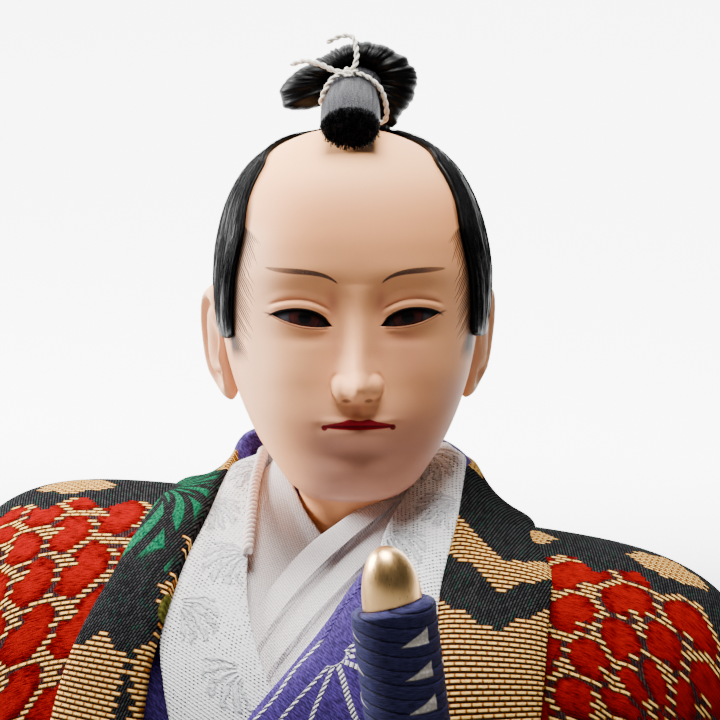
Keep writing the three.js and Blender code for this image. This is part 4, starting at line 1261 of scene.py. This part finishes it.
# Materials of the pieces
THREAD_PITCH = 0.31
THREAD_HALF = 0.29
THREAD_TWIST = 0.75
RAY_ANGLE = 27
ROW = 0.67
DASH = 1.3
RIB = 0.36
RIB_STEP = 0.66
PETAL_DEPTH = 5.2
PETAL_ANGLE = 26.0


def head_depth(shade):
    """How far forward a place is in the head's own frame."""
    x, y, z = shade.here()
    way = HEAD_TURN[:, 1]
    return (x - HEAD_AT[0]) * -way[0] + (y - HEAD_AT[1]) * -way[1] + (z - HEAD_AT[2]) * -way[2]


def line_through(value, pairs):
    """The line through [position, value] pairs, for a Value."""
    total = pairs[0][1]
    for (x0, y0), (x1, y1) in zip(pairs, pairs[1:]):
        total = (value - x0).most(0.0).least(x1 - x0) * ((y1 - y0) / (x1 - x0)) + total
    return total


# Distance of the edge of the hair from the middle of the face, by height
HAIR_EDGE = [(-6, 13.6), (-2, 14.4), (4.8, 14.1), (10.2, 12.9), (14.4, 12.3), (18, 10.4)]


def hair_strokes(s, side, z, depth):
    """Thin painted strokes that slant down from the edge of the hair into the face, and a band of painted
    shade along the edge itself.
    """
    inward = line_through(z, HAIR_EDGE) + 0.25 - side
    run = (z + inward * 1.7) * (1 / 0.42) + s.noise(s.vector(z * 0.6), 1.0, 2) * 2.5
    chance = s.chance(run.floor())
    reach = (1.4 + chance * 1.4) * (s.ramp(z, -6.5, -1.0, 0.5, 1.0) + s.ramp(z, 8.4, 10.0) * 0.5)
    share = inward / reach
    thin = (1 - share) * 0.66 + 0.06
    line = s.ramp(abs(run % 1.0 - 0.5), thin, thin * 0.6) * s.ramp(share, 1.0, 0.8)
    line = line * s.ramp(z + inward, 11.2, 10.6) * s.ramp(z, -6.4, -4.0)
    # A band of painted shade along the edge of the hair, where it meets the skin
    edge = s.ramp(inward, 0.75, 0.4) * s.ramp(z, 15.0, 12.0, 0.3, 1.0) * s.ramp(z, -2.3, -1.5)
    return line.most(edge * 0.7) * s.ramp(depth, 4.6, 6.4)


def skin_tones(s, x, z, ahead):
    """The tones of the skin, with painted shade in the hollows, across the forehead, below and at the
    right, and painted light at the left and at the top.
    """
    side = abs(x)
    skin = s.blend(s.noise(s.vector(*s.here()), 0.35, 3), (0.82, 0.355, 0.155), (0.86, 0.38, 0.17))
    # Painted shade: in the eye sockets, under the eyes, beside and under the nose, round the mouth, above
    # the chin and on the right cheek
    shadow = (0.75 * hill((side - 2.9) * 1.1, (z - 1.6) * 0.45)
              + 0.4 * hill((side - 5.2) * 0.4, (z + 2.3) * 1.3)
              + 0.4 * hill((side - 2.4) * 0.9, (z + 4.0) * 0.35)
              + 0.6 * hill((x + 0.1) * 1.3, (z + 10.9) * 0.9)
              + 0.35 * hill((side - 6.3) * 0.4, (z + 13.6) * 0.3)
              + 0.8 * hill(x * 0.17, (z + 15.8) * 0.42)
              + 0.35 * hill((x - 8.5) * 0.25, (z + 9.0) * 0.16)
              + 0.45 * hill((x - 6.2) * 0.35, (z + 4.5) * 0.3)
              + 0.22 * hill((side - 3.5) * 2.2, (z + 8.6) * 0.8))
    skin = s.blend(s.ramp(shadow * ahead, 0.0, 1.4), skin, (0.56, 0.18, 0.12))
    # Painted shade, greyer than the skin, low on the jaw at the left and low on the right side
    jaw_shade = s.ramp(z, -8.0, -17.0) * s.ramp(x, -9.0, -3.0)
    lower = jaw_shade.most(s.ramp(x, 7.5, 12.0) * s.ramp(z, -6.0, -10.0) * 0.7) * ahead
    skin = s.blend(lower * 0.85, skin, (0.6, 0.28, 0.2))
    # Painted light on the left side of the face, below the temple
    skin = s.blend(s.ramp(x, -8.0, -11.5) * s.ramp(z, 12.0, 9.0) * ahead * 0.8, skin, (0.98, 0.52, 0.29))
    # A band of painted shade across the left of the forehead
    skin = s.blend(hill((z - 11.0) * 0.22) * s.ramp(x, -13.0, -5.0) * 0.7, skin, (0.74, 0.285, 0.1))
    # Painted light on the top of the forehead
    return s.blend(s.ramp(z, 14.0, 18.0) * 0.85, skin, (0.98, 0.47, 0.2))


def lid_paint(s, skin, side, z, ahead):
    """The lashes, painted shadow along the crease of the lid with soft painted shade above it, and the
    lines under and beside the eye.
    """
    within = s.ramp(side, 3.0, 3.7) * s.ramp(side, 10.9, 10.0) * ahead
    above = z - upper_lid(side)
    over = z - lid_fold(side)
    lash = s.ramp(above, -0.2, 0.0) * s.ramp(above, 0.32, 0.16) * within
    shade_over = s.ramp(above, 0.2, 0.4) * s.ramp(above, 1.0, 0.45) * within
    # Painted shadow along the crease of the lid
    fold = s.ramp(abs(over - 0.12), 0.3, 0.06) * within
    # Soft painted shade above the crease
    shade_above_crease = s.ramp(over, 0.0, 0.3) * s.ramp(over, 1.8, 0.3) * within
    low = s.ramp(abs(z - lower_lid(side) + 0.12), 0.24, 0.08) * within
    tail = (s.ramp(abs(z - 0.3 - (side - 10.05) * 0.26), 0.18, 0.05) * s.ramp(side, 9.6, 9.9)
            * s.ramp(side, 11.3, 10.6) * ahead)
    for share, colour in ((shade_above_crease * 0.2, (0.6, 0.21, 0.13)), (shade_over * 0.4, (0.5, 0.17, 0.075)),
                          (fold * 0.42, (0.36, 0.11, 0.07)), (low * 0.8, (0.13, 0.035, 0.02)),
                          (tail * 0.8, (0.14, 0.05, 0.04)), (lash, (0.006, 0.004, 0.004))):
        skin = s.blend(share, skin, colour)
    return skin


def brow_paint(s, skin, x, z, ahead):
    hairs = s.noise(s.vector(x * 4.0, z * 14.0), 1.0, 2)
    for mirror, (near, far, rise) in ((-1, (2.15, 11.1, 0.45)), (1, (2.9, 11.1, 0.1))):
        e = (x * mirror - near) * (1 / (far - near))
        inside = s.ramp(e, 0.0, 0.04) * s.ramp(e, 1.0, 0.93) * ahead
        kept = e.most(0.0001).least(1.0)
        middle = 4.0 + 1.6 * (1 - (kept * -5.5).exp()) + rise * kept ** 6.0
        half = 0.47 * kept.root() * (1 - kept ** 4.0) + 0.04
        brow = s.ramp(abs(z - middle) / half, 1.25, 0.7) * inside * s.ramp(e, 1.0, 0.5, 0.7, 0.95)
        skin = s.blend(brow * s.ramp(hairs, 0.25, 0.5, 0.8, 1.0), skin, (0.045, 0.026, 0.022))
    return skin


def mouth_paint(s, skin, x, z, ahead):
    """Red lips with a dark line between them, dark corners of the mouth, and the nostrils."""
    t = abs(x - 0.15)
    bow = -12.28 + 0.22 * hill((t - 1.2) * (1 / 0.7)) - 0.035 * t * t
    sag = 0.012 * t * t
    lips = (s.ramp(z - bow, 0.1, -0.04) * s.ramp(z + 13.38 - sag, -0.08, 0.08)
            * s.ramp(t, 4.5, 3.9) * ahead)
    red = s.blend(s.ramp(z, -13.1, -13.2), (0.3, 0.004, 0.014), (0.55, 0.008, 0.03))
    skin = s.blend(lips, skin, red)
    gap = s.ramp(abs(z + 12.92 + sag), 0.13, 0.04) * s.ramp(t, 4.6, 4.0) * ahead
    skin = s.blend(gap * 0.85, skin, (0.1, 0.003, 0.009))
    ends = s.ramp(((t - 4.1).square() + (z + 13.15).square()).root(), 0.44, 0.26) * ahead
    skin = s.blend(ends, skin, (0.19, 0.002, 0.009))
    reach = ((abs(x) - 1.3).square() * 0.5 + (z + 9.85).square() * 2.4).root()
    return s.blend(s.ramp(reach, 0.5, 0.25) * ahead * 0.6, skin, (0.2, 0.05, 0.03))


def flesh_paint():
    s = Shade("flesh_paint")
    x, z = s.uv()
    side = abs(x)
    depth = head_depth(s)
    ahead = s.ramp(depth, 5.0, 9.0)
    skin = skin_tones(s, x, z, ahead)
    skin = lid_paint(s, skin, side, z, ahead)
    skin = brow_paint(s, skin, x, z, ahead)
    skin = mouth_paint(s, skin, x, z, ahead)
    # Painted light: the ears are made lighter than the face
    ear = s.ramp(side, 14.6, 15.6) * s.ramp(depth, 4.0, 2.0) * s.ramp(z, 5.0, 3.0)
    skin = s.blend(ear * 0.8, skin, (0.95, 0.52, 0.3))
    skin = s.blend(hair_strokes(s, side, z, depth) * 0.95, skin, (0.012, 0.008, 0.007))
    relief = s.noise(s.vector(*s.here()), 3.0, 3)
    return s.finish(skin, s.ramp(relief, 0.3, 0.7, 0.55, 0.63), relief, 0.012, Specular_IOR_Level=0.12)


def eye_glass():
    """A dark glass eye: a brown iris with fine rays, its pupil, and the shade of the upper lid."""
    s = Shade("eye_glass")
    x, z = s.uv()
    side = abs(x)
    white = s.blend(s.ramp(side, 7.4, 8.8), (0.02, 0.015, 0.015), (0.055, 0.055, 0.065))
    reach = ((side - 6.15).square() + (z - 0.05).square()).root()
    rays = s.noise(s.vector(side * 3.0, z * 3.0), 2.0, 3)
    iris = s.blend(s.ramp(reach, 0.8, 1.7), (0.016, 0.005, 0.005), (0.052, 0.009, 0.008))
    iris = s.blend(s.ramp(reach, 1.6, 1.9), iris, (0.004, 0.002, 0.002))
    iris = s.blend(s.ramp(rays, 0.35, 0.7) * 0.35, iris, (0.1, 0.014, 0.01))
    iris = s.blend(s.ramp(reach, 0.85, 0.7), iris, (0.001, 0.001, 0.001))
    eye = s.blend(s.ramp(reach, 2.0, 1.8), white, iris)
    eye = s.blend(s.ramp(z - upper_lid(side), -0.95, -0.3) * 0.85, eye, (0.003, 0.002, 0.002))
    return s.finish(eye, 0.3, Specular_IOR_Level=0.12)


def silk_hair():
    """Fine threads side by side: the UV runs across them and then along them."""
    s = Shade("silk_hair")
    u, v = s.uv()
    fine = s.noise(s.vector(u * (1 / 0.16), v * 0.3), 1.0, 3, 0.6)
    broad = s.noise(s.vector(u * 1.3, v * 0.15, 3.0), 1.0, 2)
    level = s.ramp(fine * 0.7 + broad * 0.5, 0.55, 0.95)
    tone = s.blend(level, (0.0008, 0.0008, 0.0009), (0.007, 0.007, 0.008))
    # Pale specks of painted sheen on the tail of the topknot
    tail_sheen = s.noise(s.vector(u * 7.0, v * 5.0, 1.0), 1.0, 3, 0.7)
    tail = s.ramp(u, TAIL_UV - 20, TAIL_UV - 15)
    tone = s.blend(tail * s.ramp(tail_sheen, 0.42, 0.68), tone, (0.085, 0.086, 0.1))
    return s.finish(tone, s.ramp(fine, 0.3, 0.7, 0.3, 0.5), fine, 0.05, Specular_IOR_Level=0.08)


def plain_thread(name, dark, light, roughness, gloss=0.1):
    s = Shade(name)
    fibre = s.noise(s.vector(*s.here()), 6.0, 3)
    return s.finish(s.blend(fibre, dark, light), roughness, fibre, 0.03, Specular_IOR_Level=gloss)


def white_weave():
    """An open plain weave: threads over and under, with a small hole at each crossing."""
    s = Shade("white_cloth")
    u, v = s.uv()
    dark, light = (0.36, 0.28, 0.28), (0.78, 0.75, 0.76)
    turn = math.pi / THREAD_PITCH
    weave = ((u * turn).sin() * (v * turn).sin()) * 0.5 + 0.5
    hole = abs((u * turn).cos() * (v * turn).cos())
    slub = s.noise(s.vector(u * 3.0, v * 3.0), 1.0, 3)
    tone = s.blend(s.ramp(hole, 0.35, 0.85) * 0.8, light, dark)
    tone = s.blend(s.ramp(slub, 0.35, 0.7) * 0.3, tone, dark)
    return s.finish(tone, 0.9, weave * 0.4 + slub * 0.2 - hole * 0.6, 0.1, Specular_IOR_Level=0.05)


def polar(u, v, centre):
    """Distance from a centre on the cloth, and the angle from the direction of +v, in degrees."""
    du, dv = u - centre[0], v - centre[1]
    return (du.square() + dv.square()).root(), du.arc(dv) * (180 / math.pi)


def outline_thread(s, distance, run):
    """Cover and height of a twisted thread on cloth, from the distance to its line and the run."""
    half = s.ramp(abs(distance), THREAD_HALF, THREAD_HALF * 0.7)
    ply = ((run * (1 / THREAD_TWIST) + distance * 1.1) * (2 * math.pi)).sin() * 0.5 + 0.5
    return half * s.ramp(ply, 0.05, 0.35), half * (0.3 + 0.7 * ply)


def panel_threads(s, u, v):
    """White threads on the chest panel: one along its inner edge, and a fan of rays."""
    edge = u - (PANEL_UV + 1.1) - 0.25 * (v * 0.9).sin()
    white, rise = outline_thread(s, edge, v)
    reach, angle = polar(u, v, (PANEL_UV + 4.6, 17.6))
    off = ((angle + 4.0) * (1 / RAY_ANGLE) + 0.5) % 1.0 - 0.5
    ray, ray_rise = outline_thread(s, off * reach * math.radians(RAY_ANGLE), reach)
    in_fan = (s.ramp(reach, 0.9, 1.1) * s.ramp(reach, 11.5, 11.0) * s.ramp(angle, -18.0, -16.0)
              * s.ramp(angle, 166.0, 164.0))
    panel = s.ramp(u, PANEL_UV - 1.0, PANEL_UV - 0.9) * s.ramp(u, PANEL_UV + 50.0, PANEL_UV + 49.0)
    white = (white * s.ramp(v, 15.5, 16.5)).most(ray * in_fan)
    return white * panel, rise.most(ray_rise * in_fan) * panel


def purple_silk():
    s = Shade("purple_silk")
    u, v = s.uv()
    x, y, z = s.here()
    grain = s.noise(s.vector(x - z * 0.8, z * 3.6 + x * 3.6, y * 1.5), 1.0, 3, 0.6)
    twill = ((x * 0.55 + z + y * 0.3) * (2 * math.pi / 0.4)).sin() * 0.5 + 0.5
    soft = s.noise(s.vector(x, y, z), 0.35, 2)
    level = grain * 0.85 + twill * 0.08 + soft * 0.15
    tone = s.blend(s.ramp(level, 0.38, 0.78), (0.014, 0.006, 0.05), (0.078, 0.039, 0.25))
    white, rise = panel_threads(s, u, v)
    robe, robe_rise = outline_thread(s, x + 22.5 + (z - 14.0) * 0.32, z)
    low = s.ramp(u, 40.0, 39.0) * s.ramp(z, 22.0, 21.0) * s.ramp(y, -10.0, -12.0)
    white, rise = white.most(robe * low), rise.most(robe_rise * low)
    tone = s.blend(white, tone, (0.66, 0.64, 0.62))
    return s.finish(tone, 0.7, level * 0.5 + rise * 0.9, 0.26, Specular_IOR_Level=0.1)


def gold_rows(s, u, v):
    """Gold weft: the middle of each dash, its height, and its colour, pale in a painted highlight along
    each row, with painted shade at the row's edges and orange tips.
    """
    row = (v * (1 / ROW)).floor()
    start = row * 0.5
    dashes = u * (1 / DASH) + start
    place = dashes % 1.0
    centre_u = (dashes.floor() + 0.5 - start) * DASH
    centre_v = (row + 0.5) * ROW
    thick = abs((v * (1 / ROW)) % 1.0 - 0.46)
    rounded = s.ramp(thick, 0.42, 0.1)
    along = s.ramp(place, 0.0, 0.1) * s.ramp(place, 1.0, 0.9)
    glint_streaks = s.noise(s.vector(u * 2.2, v * 16.0), 1.0, 2)
    # Gold streaked with pale painted glints
    pale = s.blend(s.ramp(glint_streaks, 0.3, 0.7), (0.58, 0.25, 0.035), (1.0, 0.71, 0.23))
    tips = s.ramp(place, 0.2, 0.04).most(s.ramp(place, 0.82, 0.98))
    tone = s.blend(tips, pale, (0.25, 0.075, 0.012))
    # Painted shade towards the edges of each round row of gold
    tone = s.blend(s.ramp(thick, 0.12, 0.36), tone, (0.14, 0.036, 0.006))
    tone = s.blend(s.ramp(thick, 0.35, 0.41), tone, (0.003, 0.0028, 0.0028))
    return centre_u, centre_v, rounded * (0.35 + 0.65 * along), tone


def black_twill(s, u, v):
    """Height and colour of the black warp: steep broken ribs with green flecks, darker between the ribs
    with painted shade.
    """
    across = (u + v * 0.25) * (1 / RIB)
    column = across.floor()
    rib = ((across % 1.0) * math.pi).sin()
    steps = v * (1 / RIB_STEP) + column * 0.37
    step = steps % 1.0
    body = rib * (0.45 + 0.55 * s.ramp(step, 0.0, 0.2) * s.ramp(step, 1.0, 0.8))
    cell = s.chance(column, steps.floor())
    light = s.blend(cell, (0.014, 0.014, 0.015), (0.036, 0.036, 0.038))
    # Painted shade in the grooves between the ribs
    tone = s.blend(s.ramp(body, 0.2, 0.95), (0.0022, 0.0022, 0.0026), light)
    fleck = s.ramp(cell, 0.9, 0.94) * s.ramp(body, 0.4, 0.8)
    return body, s.blend(fleck * 0.7, tone, (0.003, 0.035, 0.02))


def right_gold(s, u, v):
    """Gold on the collar's side on +X, down from the shoulder: a chevron, then gold throughout."""
    out = u - 0.6
    fall = abs(out)
    outer_side = s.ramp(out, -0.01, 0.01)
    high = 139.1 - fall * (1.12 - 0.44 * outer_side)
    low = 143.8 - fall * (0.79 - 0.2 * outer_side)
    chevron = (v > high) * (v < low)
    main = (v > 149.4 - abs(u - 0.3) * 0.61) * (v > 130.0)
    top = (v > 96.0) * (v < 118.6 - (u + 6.5) * 0.5) * (u < -3.4)
    return chevron.most(main).most(top)


def left_gold(u, v):
    """Gold on the side on -X: a stepped peak and dashes along the inner edge, and behind the neck."""
    peak = (v < 25.4 - abs(u - 1.3) * 0.66) * (u > -3.3 + (23.0 - v).most(0.0) * 0.08)
    wave = 0.9 * (v * 0.62 + 0.4).sin()
    steps = (u < -4.2 + wave * 0.8 + (v - 30.0).most(0.0) * 0.12) * (v < 41.0)
    spike = (v > 56.0) * (v < 76.0) * (u < -2.4)
    back = (((v * 0.16).sin() * 3.0 + u) > 4.4) * (v > 66.0) * (v < 112.0)
    return peak.most(steps).most(spike).most(back)


def green_fronds(s, u, v):
    """Fronds that curl out from one point, on the side on -X."""
    reach, angle = polar(u, v, (4.4, 53.5))
    frond = ((angle + reach * 2.2) * (1 / 15.0)) % 1.0 - 0.5
    return (s.ramp(abs(frond), 0.3, 0.24) * s.ramp(reach, 17.5 + 1.2 * (angle * 0.21).sin(), 16.5)
            * s.ramp(reach, 2.2, 3.0) * s.ramp(v, 34.0, 35.0) * s.ramp(v, 61.0, 60.0)
            * s.ramp(u, -3.2, -2.4))


def black_brocade():
    """Black twill with figures in gold weft, green fronds and an olive spot."""
    s = Shade("black_brocade")
    u, v = s.uv()
    rib, tone = black_twill(s, u, v)
    gold_u, gold_v, body, gold = gold_rows(s, u, v)
    share = right_gold(s, gold_u, gold_v).most(left_gold(gold_u, gold_v))
    leaf = green_fronds(s, u, v)
    fuzz = s.noise(s.vector(u * 4.0, v * 2.0), 1.0, 2)
    green = s.blend(s.ramp(fuzz, 0.3, 0.7), (0.003, 0.03, 0.016), (0.008, 0.13, 0.06))
    olive = s.blend(s.ramp(fuzz, 0.3, 0.7), (0.03, 0.03, 0.006), (0.1, 0.1, 0.018))
    spot = s.ramp(((u + 5.2).square() * 0.5 + (v - 30.5).square() * 0.16).root(), 1.05, 0.9)
    tone = s.blend(leaf, tone, green)
    tone = s.blend(share, tone, gold)
    tone = s.blend(spot, tone, olive)
    height = mix(rib * 0.45, 0.3 + body * 0.7, share)
    height = mix(height, 0.4 + fuzz * 0.5, leaf.most(spot))
    return s.finish(tone, 0.7, height, 0.26, Specular_IOR_Level=0.0)


def petals(reach, angle):
    """Rings of petals round a centre: how far a place is from a petal's rim and from its sides."""
    rings = reach * (1 / PETAL_DEPTH)
    share = (angle * (1 / PETAL_ANGLE) + rings.floor() * 0.5) % 1.0
    bow = 1 - (2 * share - 1) ** 2.0
    return abs(rings % 1.0 - 0.45 - 0.5 * bow), 0.5 - abs(share - 0.5)


def red_brocade():
    """Red floss petals with gold outlines, on black ground that shows along the shoulder."""
    s = Shade("red_brocade")
    u, v = s.uv()
    rib, black = black_twill(s, u, v)
    gold_u, gold_v, body, gold = gold_rows(s, u, v)
    side = s.ramp(u, -0.01, 0.01)
    centre = (mix(-49.0, 45.0, side), mix(-9.0, -27.0, side))
    rim, seam = petals(*polar(gold_u, gold_v, centre))
    line = ((rim < 0.085) + (seam < 0.07)).least(1.0)
    rim, seam = petals(*polar(u, v, centre))
    puff = s.ramp(rim, 0.04, 0.35) * s.ramp(seam, 0.04, 0.35)
    floss = s.noise(s.vector(u * 0.9, v * 6.0), 1.0, 3, 0.65)
    tuft = s.noise(s.vector(u * 0.5, v * 0.9, 4.0), 1.0, 2)
    # The floss is lighter on the raised middle of each petal and darker towards its rim: painted light and
    # shade
    level = s.ramp(floss * 0.8 + tuft * 0.25 + puff * 0.12, 0.4, 0.74)
    red = s.blend(level, (0.022, 0.0009, 0.0013), (0.21, 0.0032, 0.003))
    red = s.blend(s.ramp(puff, 0.06, 0.0) * 0.85, red, black)
    ground = (gold_v > -6.6 - 1.2 * (gold_u * 0.8).sin()) * (gold_v < 30.0)
    patch = ((gold_u * 0.33 + 0.6).sin() + (gold_v * 0.5).cos() * 0.8 > 0.75) * ground
    tone = s.blend(line, red, gold)
    tone = s.blend(ground, tone, black)
    tone = s.blend(patch, tone, gold)
    height = mix(0.25 + puff * 0.5 + floss * 0.25, 0.1 + body * 0.5, line)
    height = mix(height, rib * 0.25 + patch * (0.15 + body * 0.4), ground)
    return s.finish(tone, 0.75, height, 0.4, Specular_IOR_Level=0.0)


# Rows of sprays on the white brocade: their start and pitch along it, the place of their root
# across it, the side they lean to, and the angle from one leaf to the next
SPRAYS = ((2.0, 17.0, 3.9, -1, 19.0), (10.5, 17.0, -4.1, 1, 21.0))


def satin_sprays(s, u, v):
    """Cover, height and rims of painted shade round the sprays, whose edges are a little torn."""
    sprays, satin, rim_shade = 0.0, 0.0, 0.0
    torn = s.noise(s.vector(u * 0.8, v * 0.8, 2.0), 1.0, 3, 0.6)
    for start, pitch, root, way, spread in SPRAYS:
        number = ((v - start) * (1 / pitch)).floor()
        reach, angle = polar((u - root) * way, v - start - number * pitch, (0.0, pitch * 0.5 + 2.2))
        bend = (angle - 96.0 + reach * 6.0 + torn * 22.0) * (1 / spread)
        leaf = abs(bend % 1.0 - 0.5)
        size = s.ramp(reach, 7.2, 1.2, 0.16, 0.44)
        tip = 6.8 - abs(bend) * 0.6
        within = s.ramp(abs(bend), 2.6, 2.5) * s.ramp(reach, 0.9, 1.2) * s.ramp(reach, tip, tip - 0.6)
        stroke = s.ramp(leaf, size, size - 0.1) * within * s.ramp(torn, 0.36, 0.44)
        rim_shade = (s.ramp(leaf, size + 0.14, size) * within).most(rim_shade)
        sprays = stroke.most(sprays)
        satin = (stroke * s.ramp(leaf, 0.4, 0.0)).most(satin)
    return sprays, satin, rim_shade


def white_brocade():
    """A dense white weave with rows of small holes, and raised sprays of silver-grey satin."""
    s = Shade("white_brocade")
    u, v = s.uv()
    slant = 0.6
    rows = (v * 0.82 + u * slant) * (1 / 0.47)
    along = (u * 0.82 - v * slant) * (1 / 0.53) + rows.floor() * 0.37
    cell = s.chance(along.floor(), rows.floor())
    off = ((along % 1.0 - 0.5).square() * 1.6 + (rows % 1.0 - 0.5).square()).root()
    hole = s.ramp(off, 0.34, 0.16) * s.ramp(cell, 0.1, 0.45)
    thread = (rows * (2 * math.pi)).sin() * 0.5 + 0.5
    soft = s.noise(s.vector(u * 0.25, v * 0.25, 5.0), 1.0, 1)
    local = u - s.ramp(u, UV_STEP / 2, UV_STEP / 2 + 0.1) * UV_STEP
    sprays, satin, rim_shade = satin_sprays(s, local, v)
    gloss = s.noise(s.vector(local * 2.0, v * 7.0), 1.0, 2)
    yarn = s.noise(s.vector(u * 5.0, v * 4.0), 1.0, 2)
    tone = s.blend(s.ramp(yarn, 0.3, 0.75), (0.72, 0.73, 0.75), (0.95, 0.95, 0.97))
    tone = s.blend(hole * s.ramp(soft, 0.35, 0.6, 0.35, 1.0), tone, (0.12, 0.12, 0.14))
    # Painted shade round the raised sprays
    tone = s.blend(rim_shade * 0.55, tone, (0.14, 0.15, 0.18))
    # Silver satin, streaked lighter and darker as painted sheen
    silver = s.blend(s.ramp(gloss, 0.35, 0.7), (0.5, 0.52, 0.56), (0.85, 0.87, 0.9))
    tone = s.blend(sprays * 0.9, tone, silver)
    height = mix(thread * 0.2 + yarn * 0.15 - hole * 0.5 + 0.2, 0.5 + satin * 0.5, sprays)
    return s.finish(tone, 0.75, height, 0.24, Specular_IOR_Level=0.05)


# Wedges that the tape leaves open: the angle of each tip, the way it widens, and how fast
WEDGES = ((288, 1, 0.24), (226, -1, 0.1), (108, 1, 0.24), (46, -1, 0.1))


def grip_tape():
    """Navy tape in many turns, which leaves wedges of pale skin open along both sides."""
    s = Shade("grip_tape")
    u = s.uv()[0]
    x, y, z = s.here()
    turn = u * (180 / math.pi)
    down = (HILT_TOP[2] - 2.2 - z) * (1 / GRIP_PITCH) % 1.0
    gaps = 0.0
    for tip, way, size in WEDGES:
        t = (turn - tip) * (way / 44)
        wedge = s.ramp(abs(down - (0.62 - 0.28 * t)) - t * size, 0.03, -0.03)
        gaps = (wedge * s.ramp(t, 0.0, 0.04) * s.ramp(t, 1.0, 0.96)).most(gaps)
    gaps = gaps * s.ramp(z, HILT_TOP[2] - 0.75, HILT_TOP[2] - 0.85)
    step = tape_step(u, z)
    edge = s.ramp(step, 0.0, 0.12) * s.ramp(step, 1.0, 0.9)
    fibre = s.noise(s.vector(u * 4.0, z * 11.0 - u.sin() * 2.0), 1.0, 3, 0.65)
    # Each turn of tape is lighter in its middle and darker at its steps: painted shade where the turns
    # overlap
    navy = s.blend(s.ramp(fibre + edge * 0.25, 0.5, 0.95), (0.0035, 0.003, 0.012), (0.034, 0.032, 0.105))
    grain = s.node("TexVoronoi", {"feature": "F1"}, {"Vector": s.vector(x, y, z), "Scale": 2.4})
    skin = s.blend(s.ramp(grain, 0.1, 0.6), (0.62, 0.58, 0.53), (0.4, 0.36, 0.31))
    height = mix(0.5 + edge * 0.25 + fibre * 0.35, 0.15 - grain * 0.15, gaps)
    return s.finish(s.blend(gaps, navy, skin), 0.65, height, 0.35, Specular_IOR_Level=0.06)


def gilt():
    s = Shade("gilt_metal")
    u, v = s.uv()
    scratch = s.noise(s.vector(u * 30.0, v * 1.2), 1.0, 3)
    tone = s.blend(scratch, (0.84, 0.46, 0.16), (1.0, 0.65, 0.28))
    return s.finish(tone, s.ramp(scratch, 0.2, 0.8, 0.26, 0.38), scratch, 0.008, Metallic=1.0)


# Pieces
def make_head():
    build = Build()
    add_head(build)
    add_ear(build, -1)
    add_ear(build, 1)
    piece("head", build.mesh("head"), flesh_paint(), ["head"])
    glass = eye_glass()
    for side, name in ((-1, "left_eye"), (1, "right_eye")):
        build = Build()
        front = eye_shell(side, 0.35, 0.25)
        build.slab(on_body(front), on_body(front + np.array([0, 1.5, 0])), face_uv(front))
        piece(name, build.mesh(name), glass, [name])


def make_hair():
    threads, cords = thread_tree(), cord_tree()
    hair = silk_hair()
    build = Build()
    add_hair_cap(build)
    piece("hair", build.mesh("hair"), hair, ["hair"])
    lines = hair_lines(1500, 0.004, 0.996, 0.12)
    lines += hair_lines(160, 0.0, 0.02, 0.3) + hair_lines(160, 0.98, 1.0, 0.3)
    loose = plain_thread("loose_hair", (0.001, 0.001, 0.0013), (0.012, 0.012, 0.0135), 0.45, gloss=0.05)
    strays = threads.grow(line_mesh(lines), loose, radius=0.035 * MM, sides=3)
    piece("hair_strands", strays, loose)
    build = Build()
    add_fan(build)
    add_root(build)
    add_tail(build)
    piece("topknot", build.mesh("topknot"), hair, ["topknot"])
    ends = threads.grow(line_mesh(bristles()), loose, radius=0.07 * MM, sides=4, blunt=0.8)
    piece("topknot_bristles", ends, loose)
    cord = plain_thread("tie_cotton", (0.62, 0.56, 0.46), (0.86, 0.83, 0.76), 0.85)
    paths = [even_line(TIE_ROUND, 90)] + [even_line(end, 40) for end in TIE_ENDS] + knot_lines()
    tie = cords.grow(line_mesh(paths), cord, ply_radius=TIE_PLY * MM, ply_offset=TIE_PLY_OFFSET * MM,
                     pitch=TIE_TWIST * MM, step=0.15 * MM, sides=8)
    piece("topknot_tie", tie, cord, ["topknot_tie"])


def lapel_sag(t):
    """The black collar bulges a little in front and is hollow behind the neck."""
    return mix(0.5, -1.3, smooth(0.26, 0.4, t) * smooth(0.76, 0.6, t))


def make_clothes():
    inner = collar_mesh("inner_collar", (INNER_LEFT, INNER_RIGHT), 150, 60, CLOTH,
                        (inner_left_pleat, inner_right_pleat))
    inner = piece("inner_collar", inner, white_weave(), ["inner_collar"])
    robe = piece("robe", robe_mesh(), purple_silk(), ["robe"])
    brocade = collar_mesh("brocade_collar", (BROCADE_LEFT, BROCADE_RIGHT), 160, 40, CLOTH,
                          sag=lambda t: 0.25)
    brocade = piece("brocade_collar", brocade, white_brocade(), ["brocade_collar"])
    edge = Route(BROCADE_LEFT[0]).at(np.linspace(0.24, 0.52, 60)) + np.array([0.1, -0.1, 0.25])
    yarn = plain_thread("fringe_yarn", (0.6, 0.47, 0.43), (0.86, 0.76, 0.72), 0.8)
    fringe = cord_tree().grow(line_mesh([edge]), yarn, ply_radius=0.4 * MM, ply_offset=0.33 * MM,
                              pitch=1.7 * MM, step=0.15 * MM, sides=8)
    fringe = piece("collar_edging", fringe, yarn)
    vest = piece("vest", vest_mesh(), red_brocade(), ["vest"])
    lapel = collar_mesh("vest_collar", (LAPEL,), 420, 48, 1.8, sag=lapel_sag)
    lapel = piece("vest_collar", lapel, black_brocade(), ["vest_collar"])


def make_hilt():
    piece("sword_grip", grip_mesh(), grip_tape(), ["sword_grip"])
    piece("sword_pommel", pommel_mesh(), gilt(), ["sword_pommel"])


make_head()
make_hair()
make_clothes()
make_hilt()
